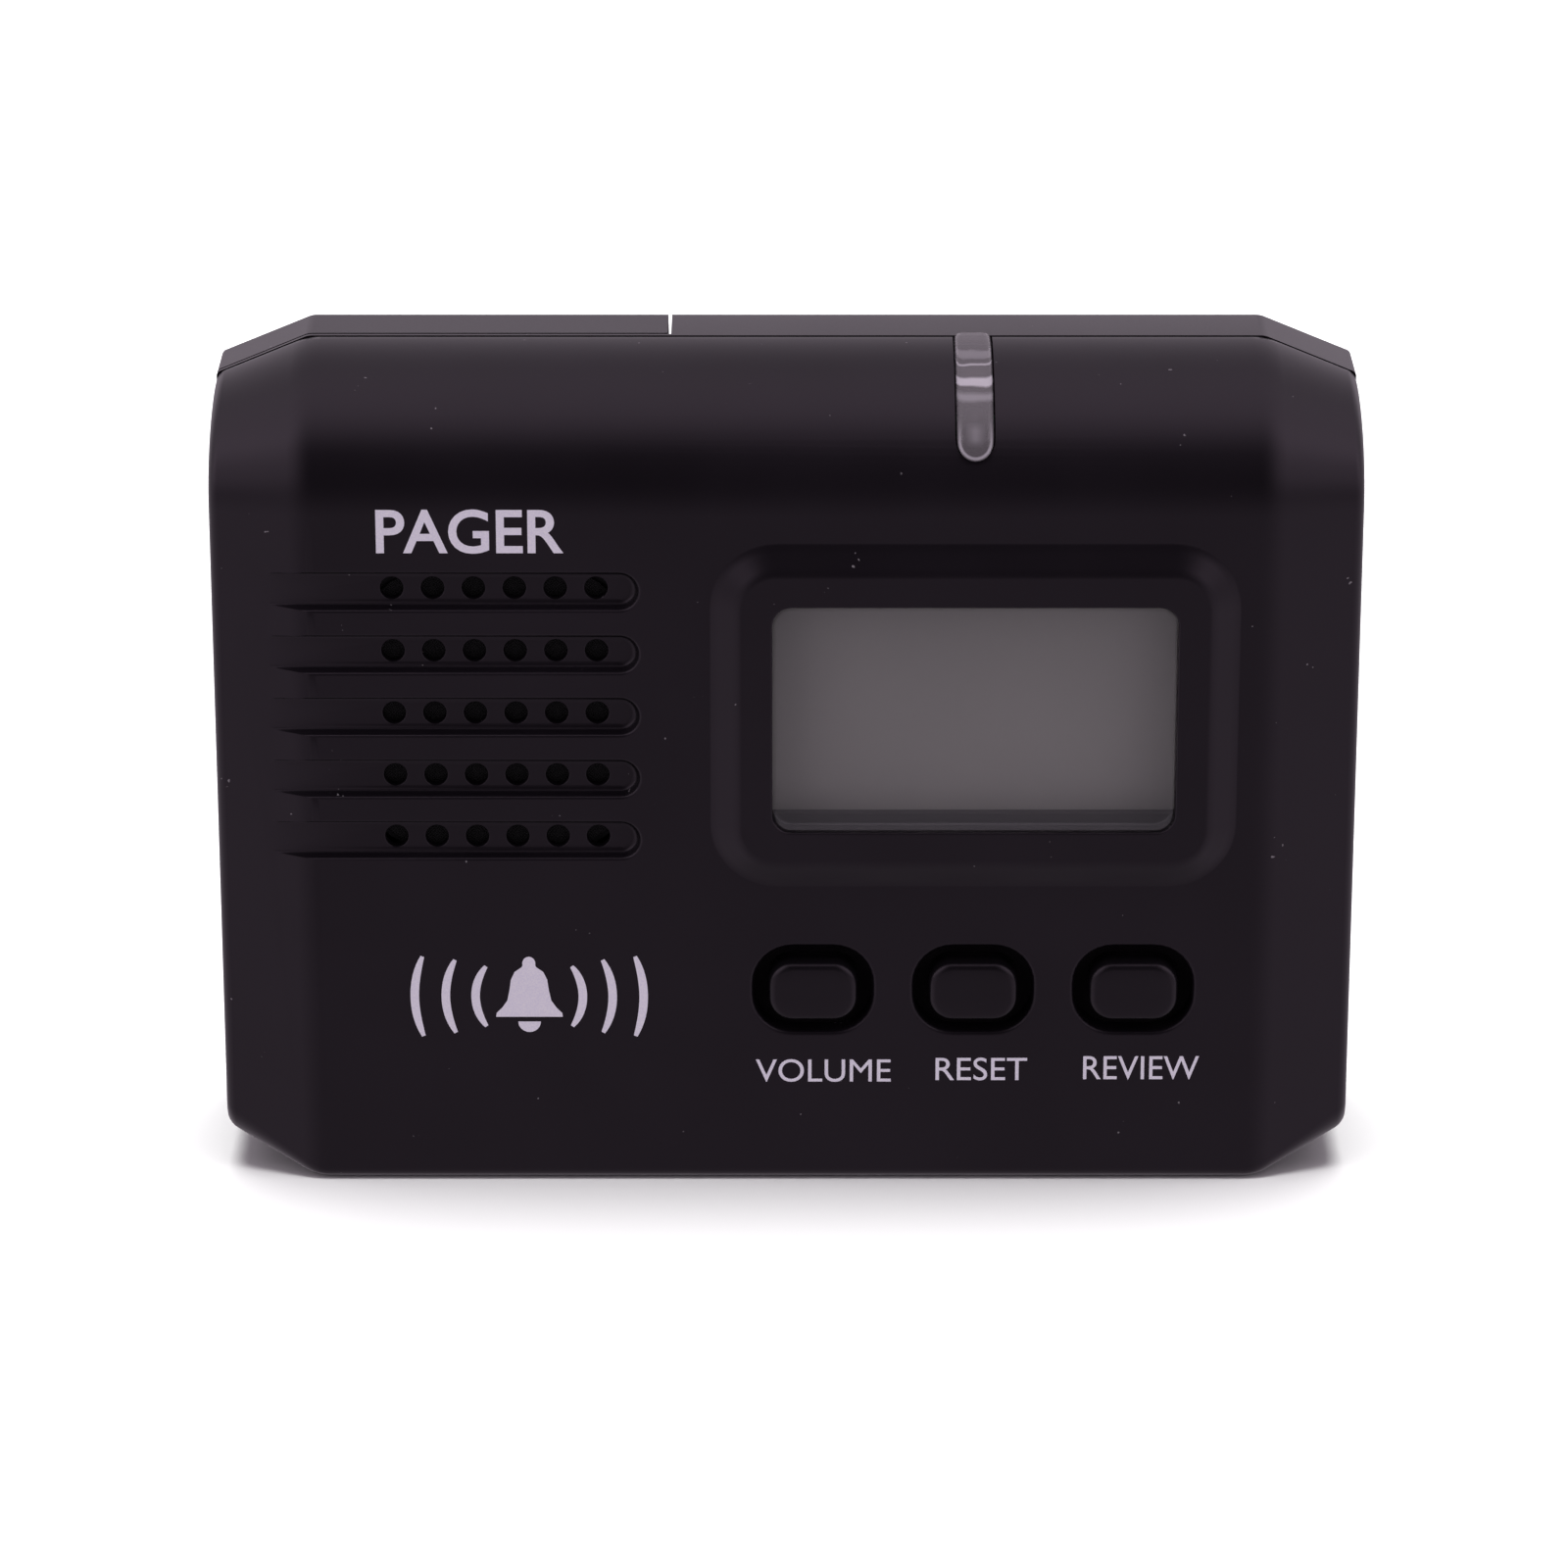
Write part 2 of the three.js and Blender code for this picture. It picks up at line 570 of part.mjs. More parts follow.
function rearShell() {
  const split = SHELL_GAP / 2;
  const skin = caseSolid(0).intersect(behind(split)).subtract(caseSolid(REAR_WALL)).subtract(footRelief());
  const bulkheads = union(
    block(PARTITION_X, PARTITION_X + BAY_WALL, split, FAR, SILL - BAY_WALL, FAR),
    block(-FAR, PARTITION_X + BAY_WALL, split, FAR, SILL - BAY_WALL, SILL),
    block(-FAR, PARTITION_X + BAY_WALL, split, SHELF_BACK, DOOR_BOTTOM - 1, FAR),
  ).intersect(caseSolid(0.3));
  const lip = caseSolid(FRONT_WALL + FIT)
    .subtract(caseSolid(FRONT_WALL + FIT + 0.9))
    .intersect(behind(-1.1))
    .intersect(ahead(SHELF_BACK))
    .subtract(plateY(pipeOutline(0.6), -2, split))
    .subtract(union(...CASE_SCREWS.map(([x, z]) => rodY(BOSS_RADIUS + SHELL_GAP, -2, split, x, z))));
  const seats = union(...CASE_SCREWS.map(([x, z]) => rodY(BOSS_RADIUS, split, FAR, x, z)));
  let shell = skin.subtract(doorSpace(SHELL_GAP, SILL));
  shell = union(shell, bulkheads, lip, seats.intersect(caseSolid(0.5).intersect(behind(split))));
  shell = union(shell, batteryTray(), motorCradle(), clipLug(-1), clipLug(1));
  shell = shell.subtract(bayRoom()).subtract(ridgeGroove()).subtract(leadHoles());
  for (const [x, z] of CASE_SCREWS) {
    shell = shell.subtract(rodY(SCREW_RADIUS + 0.25, -2, FAR, x, z, 12));
    shell = shell.subtract(rodY(SCREW_HEAD_RADIUS + 0.3, SEAT_Y, FAR, x, z));
  }
  const pinHole = rodX(PIN_RADIUS + 0.1, CLIP_X - FAR, CLIP_X + FAR, PIVOT_Y, CLIP_PIVOT_Z, 16);
  return whole(shell.subtract(pinHole));
}

// ---------------------------------------------------------------- battery door
const RIDGE_HALF = 0.5;
const TONGUE_BACK = REAR_INNER - 0.2;

// A tongue that hooks behind the edge of the rear shell, above or below the bay.
function doorTongue(z0, z1) {
  const front = TONGUE_BACK - TONGUE_THICKNESS;
  const tongue = block(DOOR_RIGHT - 1, DOOR_RIGHT + TONGUE_REACH, front, TONGUE_BACK, z0, z1);
  const inside = tongue.intersect(caseSolid(REAR_WALL + 0.2));
  return inside.add(block(DOOR_RIGHT - 1, DOOR_RIGHT, front, DOOR_INNER + 0.3, z0, z1));
}

function batteryDoor() {
  const skin = caseSolid(0).subtract(caseSolid(DOOR_WALL));
  const cover = skin.intersect(
    block(-FAR, DOOR_RIGHT, SHELF_BACK + SHELL_GAP, FAR, DOOR_BOTTOM, FAR),
  );
  const ridge = block(
    -HALF_WIDTH + DOOR_WALL - 0.3,
    BAY_LEFT - BAY_SIDE_WALL + DOOR_RIDGE - 0.2,
    CELL_Y - RIDGE_HALF,
    CELL_Y + RIDGE_HALF,
    BAY_BOTTOM,
    BAY_TOP - 4,
  );
  const low = doorTongue(DOOR_BOTTOM, BAY_BOTTOM - BAY_WALL - 0.3);
  const high = doorTongue(BAY_TOP + BAY_WALL + 0.3, BAY_TOP + BAY_WALL + 1.9);
  let door = union(cover, ridge, low, high);
  for (let i = 0; i < DOOR_RIBS; i++) {
    const z = DOOR_BOTTOM + 6 + i * 2;
    const middle = (BAY_LEFT + BAY_RIGHT) / 2;
    door = door.add(rodX(0.5, middle - 8, middle + 8, REAR_DEPTH, z, 10));
  }
  return door;
}

// ---------------------------------------------------------------- belt clip
function beltClip() {
  const top = CLIP_PIVOT_Z + CLIP_TAB;
  const near = REAR_DEPTH + 0.7;
  const shape = new THREE.Shape();
  shape.moveTo(CLIP_INNER, top);
  shape.lineTo(CLIP_OUTER, top);
  shape.lineTo(CLIP_OUTER, CLIP_TIP_Z + 8);
  shape.quadraticCurveTo(CLIP_OUTER, CLIP_TIP_Z + 3, near + CLIP_THICKNESS + 1.2, CLIP_TIP_Z + 0.6);
  shape.lineTo(near + CLIP_THICKNESS + 0.4, CLIP_TIP_Z);
  shape.lineTo(near + 1.2, CLIP_TIP_Z);
  shape.quadraticCurveTo(near - 0.1, CLIP_TIP_Z + 2.4, near + 1, CLIP_TIP_Z + 4.4);
  shape.quadraticCurveTo(CLIP_INNER, CLIP_TIP_Z + 6.4, CLIP_INNER, CLIP_TIP_Z + 9);
  shape.closePath();
  const left = CLIP_X - CLIP_WIDTH / 2;
  const plate = plateX(shape, left, left + CLIP_WIDTH, 5);
  const knuckle = (side) => {
    const outer = CLIP_X + side * (LUG_INNER - 0.2);
    const inner = outer - side * 4;
    return [Math.min(outer, inner), Math.max(outer, inner)];
  };
  let clip = plate;
  for (const side of [-1, 1]) {
    const [x0, x1] = knuckle(side);
    clip = clip.add(rodX(BARREL_RADIUS, x0, x1, PIVOT_Y, CLIP_PIVOT_Z));
    clip = clip.add(
      block(x0, x1, PIVOT_Y, CLIP_INNER + 0.2, CLIP_PIVOT_Z - BARREL_RADIUS, CLIP_PIVOT_Z + BARREL_RADIUS),
    );
  }
  return clip.subtract(rodX(PIN_RADIUS + 0.1, left - 1, left + CLIP_WIDTH + 1, PIVOT_Y, CLIP_PIVOT_Z, 16));
}

function clipPin() {
  const reach = LUG_INNER + LUG_THICKNESS;
  return rodX(PIN_RADIUS, CLIP_X - reach, CLIP_X + reach, PIVOT_Y, CLIP_PIVOT_Z, 16);
}

// The torsion spring: a leg up the case, turns round the pin, and a leg up the clip's tab.
class ClipSpringCurve extends THREE.Curve {
  getPoint(t) {
    const coil = PIN_RADIUS + 0.4 + CLIP_SPRING_WIRE;
    const half = LUG_INNER - 5.2;
    const leg = CLIP_TAB - 2;
    const turn = 2 * Math.PI * (CLIP_SPRING_TURNS + 0.5);
    const legShare = 0.08;
    if (t < legShare) {
      const s = 1 - t / legShare;
      return new THREE.Vector3(CLIP_X - half, PIVOT_Y - coil - s * 0.6, CLIP_PIVOT_Z + s * leg);
    }
    if (t > 1 - legShare) {
      const s = (t - 1 + legShare) / legShare;
      return new THREE.Vector3(CLIP_X + half, PIVOT_Y + coil + s * 0.2, CLIP_PIVOT_Z + s * leg);
    }
    const s = (t - legShare) / (1 - 2 * legShare);
    const a = Math.PI + s * turn;
    return new THREE.Vector3(
      CLIP_X - half + 2 * half * s,
      PIVOT_Y + coil * Math.cos(a),
      CLIP_PIVOT_Z + coil * Math.sin(a),
    );
  }
}

// ---------------------------------------------------------------- display
function displayLens() {
  const body = plateY(windowShape(-FIT), LENS_FRONT, LENS_BACK, 5);
  return body.add(plateY(windowShape(1.5), LENS_POCKET + 0.1, LENS_BACK, 5));
}

const displayBox = (grow, y0, y1) =>
  block(
    WINDOW_X - WINDOW_WIDTH / 2 - grow,
    WINDOW_X + WINDOW_WIDTH / 2 + grow,
    y0,
    y1,
    WINDOW_CENTRE_Z - WINDOW_HEIGHT / 2 - grow,
    WINDOW_CENTRE_Z + WINDOW_HEIGHT / 2 + grow,
  );

function displayFrame() {
  const lipRise = 0.5; // the lip hides the glass's lower edge
  const opening = block(
    WINDOW_X - WINDOW_WIDTH / 2 - 0.2,
    WINDOW_X + WINDOW_WIDTH / 2 + 0.2,
    DISPLAY_FRAME_FRONT - 1,
    GLASS_FRONT + 1,
    WINDOW_CENTRE_Z - WINDOW_HEIGHT / 2 + lipRise,
    WINDOW_CENTRE_Z + WINDOW_HEIGHT / 2 + 0.2,
  );
  const outside = displayBox(3.4, DISPLAY_FRAME_FRONT, BOARD_FRONT - HAIR);
  const hollow = displayBox(2.2, DISPLAY_FRAME_FRONT + DISPLAY_LIP, BOARD_FRONT);
  return outside.subtract(hollow).subtract(opening);
}

const displayGlass = () => displayBox(2.0, GLASS_FRONT, GLASS_BACK);

// The rubber strip that joins the glass to the board.
const displayStrip = () =>
  block(
    WINDOW_X - WINDOW_WIDTH / 2,
    WINDOW_X + WINDOW_WIDTH / 2,
    GLASS_BACK + HAIR,
    BOARD_FRONT - HAIR,
    WINDOW_CENTRE_Z - WINDOW_HEIGHT / 2 - 1.8,
    WINDOW_CENTRE_Z - WINDOW_HEIGHT / 2 + 0.2,
  );

// ---------------------------------------------------------------- light pipe
// A point on the crown of the front shell, drawn in by `inset`; angle 0 is the top.
function crownPoint(angle, inset) {
  return new THREE.Vector2(
    (FRONT_Y + inset) * Math.sin(angle),
    CASE_HEIGHT - CROWN_HEIGHT + (CROWN_HEIGHT - inset) * Math.cos(angle),
  );
}

function lightPipe() {
  const steps = 12;
  const outer = [];
  const inner = [];
  for (let i = 0; i <= steps; i++) {
    const angle = (i / steps) * (Math.PI / 2);
    outer.push(crownPoint(angle, -PIPE_PROUD));
    inner.push(crownPoint(angle, PIPE_THICKNESS));
  }
  const shape = new THREE.Shape([...outer, ...inner.reverse()]);
  const half = PIPE_WIDTH / 2;
  const strip = plateX(shape, PIPE_X - half, PIPE_X + half)
    .intersect(plateY(pipeOutline(0), FRONT_Y - 2, -SHELL_GAP / 2, 8));
  const foot = crownPoint(Math.PI / 3, FRONT_WALL + 0.2);
  const leg = block(PIPE_X - half, PIPE_X + half, foot.x, BOARD_FRONT - 2.9, LED_Z - 1, foot.y + 1);
  return strip.add(leg.intersect(caseSolid(FRONT_WALL + 0.2)));
}

const LED_Z = PIPE_END_Z - 2.2;

function statusLed() {
  const base = block(-1.5, 1.5, BOARD_FRONT - 1.6, BOARD_FRONT - HAIR, -1, 1);
  return base.add(rodY(0.9, BOARD_FRONT - 2.6, BOARD_FRONT - 1, 0, 0, 16)).translate([PIPE_X, 0, LED_Z]);
}

// ---------------------------------------------------------------- keys
function keyCap() {
  const cap = plateY(roundedRectangle(KEY_WIDTH, KEY_HEIGHT, KEY_RADIUS), FRONT_Y - KEY_PROUD, KEY_BACK, 5);
  const lap = 2 * (KEY_MARGIN + KEY_FLANGE_LAP);
  const flange = roundedRectangle(KEY_WIDTH + lap, KEY_HEIGHT + lap, KEY_OPENING_RADIUS + KEY_FLANGE_LAP);
  return cap.add(plateY(flange, KEY_FLANGE_FRONT, KEY_BACK, 5));
}

function switchBody() {
  const half = SWITCH_SIZE / 2;
  const body = block(-half, half, SWITCH_TOP, BOARD_FRONT - HAIR, -half, half);
  return body.subtract(rodY(SWITCH_STEM_RADIUS + 0.15, SWITCH_TOP - 1, SWITCH_TOP + SWITCH_WELL, 0, 0, 16));
}

const switchStem = () => rodY(SWITCH_STEM_RADIUS, STEM_TOP, SWITCH_TOP + 0.5, 0, 0, 16);

// ---------------------------------------------------------------- speaker, seen from its own axis
const MESH_Y = FRONT_INNER + HAIR;
const GASKET_Y = MESH_Y + 0.35;
const BASKET_Y = GASKET_Y + 0.85;
const MAGNET_BACK = BAY_FLOOR - BAY_WALL - SHELL_GAP;

const dustMesh = () => turned([[0, MESH_Y], [14, MESH_Y], [14, MESH_Y + 0.3], [0, MESH_Y + 0.3]]);

const gasket = () =>
  turned([
    [12.4, GASKET_Y],
    [SPEAKER_RADIUS - 0.1, GASKET_Y],
    [SPEAKER_RADIUS - 0.1, GASKET_Y + 0.8],
    [12.4, GASKET_Y + 0.8],
    [12.4, GASKET_Y],
  ]);

// The basket is a dished pan, open in front, with the magnet's seat behind.
const basket = () =>
  turned([
    [0, MAGNET_BACK - 1.9],
    [0, MAGNET_BACK - 2.5],
    [7.5, MAGNET_BACK - 2.5],
    [12, BASKET_Y + 0.8],
    [12.6, BASKET_Y],
    [SPEAKER_RADIUS, BASKET_Y],
    [SPEAKER_RADIUS, BASKET_Y + 0.8],
    [12.9, BASKET_Y + 0.9],
    [7.9, MAGNET_BACK - 1.9],
    [0, MAGNET_BACK - 1.9],
  ]);

const cone = () =>
  turned([
    [0, BASKET_Y + 0.9],
    [3.4, BASKET_Y + 1.5],
    [10.2, BASKET_Y + 0.1],
    [11.2, BASKET_Y - 0.3],
    [11.9, BASKET_Y + 0.1],
    [11.4, BASKET_Y + 0.3],
    [10.2, BASKET_Y + 0.45],
    [3.4, BASKET_Y + 1.85],
    [0, BASKET_Y + 1.3],
  ]);

const magnet = () =>
  turned([
    [0, MAGNET_BACK - 1.8],
    [6.6, MAGNET_BACK - 1.8],
    [6.6, MAGNET_BACK],
    [0, MAGNET_BACK],
  ]);

// ---------------------------------------------------------------- board and what is on it
function mainBoard() {
  const clearOf = BOSS_RADIUS + 1;
  let board = block(BOARD_LEFT, BOARD_RIGHT, BOARD_FRONT, BOARD_BACK, BOARD_BOTTOM, BOARD_TOP);
  for (const [x, z] of CASE_SCREWS) {
    const x0 = x > WINDOW_X ? x - clearOf : -FAR;
    const x1 = x > WINDOW_X ? FAR : x + clearOf;
    const z0 = z > WINDOW_CENTRE_Z ? z - clearOf : -FAR;
    const z1 = z > WINDOW_CENTRE_Z ? FAR : z + clearOf;
    board = board.subtract(block(x0, x1, -FAR, FAR, z0, z1));
  }
  for (const [x, z] of BOARD_SCREWS) board = board.subtract(rodY(SCREW_RADIUS + 0.2, -FAR, FAR, x, z, 12));
  return board;
}

const onBoard = BOARD_BACK + HAIR;
const controllerChip = () => block(-5, 5, onBoard, onBoard + 1.5, -5, 5);
const crystalCan = () => plateY(roundedRectangle(11, 4.6, 2.2), onBoard, onBoard + 3.4, 5);
const capacitor = () => rodY(3.15, onBoard, onBoard + 8, 0, 0);

function radioModule() {
  const card = block(-8, 8, onBoard, onBoard + 1, -6, 6);
  return card.add(block(-6.6, 5, onBoard + 0.9, onBoard + 3, -4.8, 4.8));
}

// A wire coil along x, between a straight leg to the board and a cut end.
class AntennaCurve extends THREE.Curve {
  getPoint(t) {
    const turns = 8;
    const radius = 2.4;
    const length = 20;
    const legShare = 0.06;
    if (t < legShare) {
      const s = t / legShare;
      return new THREE.Vector3(0, onBoard + s * (ANTENNA_Y - radius - onBoard), 0);
    }
    const s = (t - legShare) / (1 - legShare);
    const a = s * turns * 2 * Math.PI;
    return new THREE.Vector3(s * length, ANTENNA_Y - radius * Math.cos(a), radius * Math.sin(a));
  }
}
const ANTENNA_Y = 0.4;

// ---------------------------------------------------------------- vibration motor, can along x
const motorCan = () => rodX(MOTOR_RADIUS, 0, MOTOR_LENGTH, 0, 0);

function motorSleeve() {
  const outside = rodX(MOTOR_RADIUS + 1.1, 2, MOTOR_LENGTH - 2, 0, 0);
  return outside.subtract(rodX(MOTOR_RADIUS + 0.1, 0, MOTOR_LENGTH, 0, 0));
}

// The shaft and its half-round weight, which is what shakes the pager.
function motorWeight() {
  const start = MOTOR_LENGTH + 1.2;
  const lower = block(-FAR, FAR, -FAR, FAR, -FAR, 0.4);
  const half = rodX(MOTOR_RADIUS, start, start + WEIGHT_LENGTH, 0, 0).intersect(lower);
  const hub = rodX(1.1, start, start + WEIGHT_LENGTH, 0, 0, 14);
  return union(half, hub, rodX(0.5, MOTOR_LENGTH + HAIR, start + 1, 0, 0, 12));
}

// ---------------------------------------------------------------- cells and contacts, along z
function cell() {
  const radius = CELL_DIAMETER / 2;
  const body = rodZ(radius, 0, CELL_LENGTH - CELL_NUB, 0, 0, 28);
  return body.add(rodZ(1.9, CELL_LENGTH - CELL_NUB - 0.5, CELL_LENGTH, 0, 0, 14));
}

class ContactSpringCurve extends THREE.Curve {
  getPoint(t) {
    const turns = 3;
    const radius = 3.3 - 1.4 * t;
    const rise = SPRING_LENGTH - 0.7;
    const a = t * turns * 2 * Math.PI;
    const z = CONTACT_THICKNESS + 0.15 + rise * t;
    return new THREE.Vector3(radius * Math.cos(a), radius * Math.sin(a), z);
  }
}

// Contacts, drawn standing on the bottom of the bay: a flat pad for a cell's button, a pad with a
// spring for its base, and both on one strip where one cell is joined to the next.
const buttonContact = () => block(-3.8, 3.8, -3.8, 3.8, 0, CONTACT_THICKNESS);
const springContact = () => buttonContact().add(wire(new ContactSpringCurve(), 0.3, 42, 6));
const bridgeContact = () =>
  union(
    buttonContact(),
    springContact().translate([CELL_PITCH, 0, 0]),
    block(0, CELL_PITCH, -2, 2, 0, CONTACT_THICKNESS),
  );

// ---------------------------------------------------------------- screws, head towards +y, seat at y = 0
function screw(length) {
  const head = rodY(SCREW_HEAD_RADIUS, HAIR, HAIR + SCREW_HEAD_HEIGHT, 0, 0);
  const shank = rodY(SCREW_RADIUS, -length, 0.2, 0, 0, 12);
  const slot = (w, h) => block(-w / 2, w / 2, SCREW_HEAD_HEIGHT - 0.6, 3, -h / 2, h / 2);
  return head.add(shank).subtract(slot(2.4, 0.5)).subtract(slot(0.5, 2.4));
}

// ---------------------------------------------------------------- assembly
const pager = new THREE.Group();
const pagerAt = new THREE.Group();
pager.add(pagerAt);
pagerAt.position.y = -(PLATEAU_Y + CLIP_OUTER) / 2;

function add(name, made, finish, x = 0, y = 0, z = 0) {
  const mesh = new THREE.Mesh(geometryOf(made), FINISH[finish]);
  mesh.name = name;
  mesh.position.set(x, y, z);
  pagerAt.add(mesh);
  return mesh;
}

add("front_shell", frontShell(), "case");
add("rear_shell", rearShell(), "case");
add("battery_door", batteryDoor(), "case");
add("belt_clip", beltClip(), "case");
add("clip_pin", clipPin(), "steel");
add("clip_spring", wire(new ClipSpringCurve(), CLIP_SPRING_WIRE, 76, 6), "spring");

add("display_lens", displayLens(), "lens");
add("display_frame", displayFrame(), "holder");
add("display_glass", displayGlass(), "glass");
add("display_strip", displayStrip(), "zebra");
add("light_pipe", lightPipe(), "pipe");
add("status_led", statusLed(), "led");

KEY_NAMES.forEach((name, i) => {
  add(name + "_key", keyCap(), "key", keyX(i), 0, KEY_CENTRE_Z);
  add(name + "_switch", switchBody(), "chip", keyX(i), 0, KEY_CENTRE_Z);
  add(name + "_switch_stem", switchStem(), "black", keyX(i), 0, KEY_CENTRE_Z);
});

const atSpeaker = (name, made, finish) => add(name, made, finish, SPEAKER_X, 0, SPEAKER_CENTRE_Z);
atSpeaker("dust_mesh", dustMesh(), "mesh");
atSpeaker("speaker_gasket", gasket(), "foam");
atSpeaker("speaker_basket", basket(), "steel");
atSpeaker("speaker_cone", cone(), "cone");
atSpeaker("speaker_magnet", magnet(), "tin");

add("main_board", mainBoard(), "board");
add("controller_chip", controllerChip(), "chip", WINDOW_X - 6, 0, WINDOW_CENTRE_Z - 9);
add("crystal_can", crystalCan(), "tin", WINDOW_X + 8, 0, WINDOW_CENTRE_Z - 7);
add("smoothing_capacitor", capacitor(), "capacitor", WINDOW_X + 20, 0, WINDOW_CENTRE_Z - 9);
add("radio_module", radioModule(), "tin", WINDOW_X + 12, 0, WINDOW_CENTRE_Z + 7);
add("antenna_coil", wire(new AntennaCurve(), 0.35, 100, 6), "copper", WINDOW_X - 6, 0, CASE_HEIGHT - 10);

add("motor_can", motorCan(), "steel", MOTOR_X, MOTOR_Y, MOTOR_Z);
add("motor_sleeve", motorSleeve(), "rubber", MOTOR_X, MOTOR_Y, MOTOR_Z);
add("motor_weight", motorWeight(), "tin", MOTOR_X, MOTOR_Y, MOTOR_Z);

// The cells stand side by side, the middle one upside down, and the contacts join them in a row.
const contactLow = BAY_BOTTOM + HAIR;
const contactHigh = BAY_TOP - HAIR;
const cellRise = CONTACT_THICKNESS + SPRING_LENGTH + 2 * HAIR;
for (let i = 0; i < CELL_COUNT; i++) {
  const upright = i % 2 === 0;
  const z = upright ? contactLow + cellRise : contactHigh - cellRise;
  const placed = add("battery_cell_" + (i + 1), cell(), "cell", cellX(i), CELL_Y, z);
  placed.rotation.x = upright ? 0 : Math.PI;
}
add("negative_contact", springContact(), "spring", cellX(0), CELL_Y, contactLow);
add("upper_bridge", bridgeContact(), "spring", cellX(0), CELL_Y, contactHigh).rotation.x = Math.PI;
add("lower_bridge", bridgeContact(), "spring", cellX(1), CELL_Y, contactLow);
add("positive_contact", buttonContact(), "spring", cellX(2), CELL_Y, contactHigh).rotation.x = Math.PI;

CASE_SCREWS.forEach(([x, z], i) =>
  add("case_screw_" + (i + 1), screw(SCREW_LENGTH), "steel", x, SEAT_Y, z),
);
BOARD_SCREWS.forEach(([x, z], i) =>
  add("board_screw_" + (i + 1), screw(BOARD_SCREW_LENGTH), "steel", x, BOARD_BACK, z),
);

// Leads: from the speaker, the cells and the motor to the back of the board.
const speakerEdge = SPEAKER_X + 8.5;
const leads = {
  battery_lead_red: ["red", [
    [cellX(2), LEAD_HOLE_Y, BAY_TOP],
    [cellX(2), LEAD_HOLE_Y, BAY_TOP + 1.9],
    [BAY_RIGHT + 1.1, LEAD_HOLE_Y - 0.6, BAY_TOP + 2.5],
    [BAY_RIGHT + 2.3, LEAD_HOLE_Y - 1.2, BAY_TOP + 0.6],
    [BAY_RIGHT + 2.3, LEAD_HOLE_Y - 2, BAY_TOP - 5],
    [BOARD_LEFT + 1.7, BOARD_BACK + 1.4, BAY_TOP - 7.4],
    [BOARD_LEFT + 2.3, onBoard + 0.3, BAY_TOP - 7.8],
  ]],
  battery_lead_black: ["black", [
    [cellX(0), LEAD_HOLE_Y, BAY_BOTTOM],
    [cellX(0), LEAD_HOLE_Y, BAY_BOTTOM - 2],
    [cellX(0) + 4, LEAD_HOLE_Y - 0.2, BAY_BOTTOM - 3],
    [BAY_RIGHT, LEAD_HOLE_Y - 0.5, BAY_BOTTOM - 3],
    [BOARD_LEFT + 1.7, BOARD_BACK + 1.4, BAY_BOTTOM - 0.5],
    [BOARD_LEFT + 2.3, onBoard + 0.3, BAY_BOTTOM],
  ]],
  speaker_lead_red: ["red", [
    [speakerEdge, MAGNET_BACK - 1.2, SPEAKER_CENTRE_Z - 3],
    [speakerEdge + 4, MAGNET_BACK - 1.0, SPEAKER_CENTRE_Z - 5],
    [BOARD_LEFT - 0.9, BOARD_BACK + 1.2, SPEAKER_CENTRE_Z - 8],
    [BOARD_LEFT + 1.7, BOARD_BACK + 1.6, SPEAKER_CENTRE_Z - 9],
    [BOARD_LEFT + 2.2, onBoard + 0.1, SPEAKER_CENTRE_Z - 9],
  ]],
  speaker_lead_black: ["black", [
    [speakerEdge, MAGNET_BACK - 1.2, SPEAKER_CENTRE_Z + 1],
    [speakerEdge + 4, MAGNET_BACK - 1.0, SPEAKER_CENTRE_Z - 1],
    [BOARD_LEFT - 0.9, BOARD_BACK + 1.2, SPEAKER_CENTRE_Z - 4],
    [BOARD_LEFT + 1.7, BOARD_BACK + 1.6, SPEAKER_CENTRE_Z - 5],
    [BOARD_LEFT + 2.2, onBoard + 0.1, SPEAKER_CENTRE_Z - 5],
  ]],
  motor_lead_red: ["red", [
    [MOTOR_X - 0.3, MOTOR_Y, MOTOR_Z + 1],
    [MOTOR_X - 2.2, MOTOR_Y - 0.6, MOTOR_Z + 2],
    [MOTOR_X - 3.4, BOARD_BACK + 2.2, MOTOR_Z + 3],
    [MOTOR_X - 3.8, onBoard + 0.1, MOTOR_Z + 3],
  ]],
  motor_lead_black: ["black", [
    [MOTOR_X - 0.3, MOTOR_Y, MOTOR_Z - 1],
    [MOTOR_X - 2.4, MOTOR_Y - 0.6, MOTOR_Z - 0.6],
    [MOTOR_X - 3.8, BOARD_BACK + 2.2, MOTOR_Z],
    [MOTOR_X - 4.2, onBoard + 0.1, MOTOR_Z],
  ]],
};
for (const [name, [finish, points]] of Object.entries(leads))
  add(name, wire(through(points), 0.45, 18), finish);

export default pager;
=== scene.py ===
# %% [markdown]
# # A carer's pager
# The real object is a small dark plastic box: a front shell with a window, keys and a slotted
# grille, a rear shell with a battery door, and a clip for a belt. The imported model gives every
# piece its size and place. This script gives the pieces their roundings, prints and finishes.
# It works in millimetres from the middle of the case's foot and scales each piece when it is done.

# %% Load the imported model
import json
import math

import bmesh
import bpy
from mathutils import Matrix, Vector


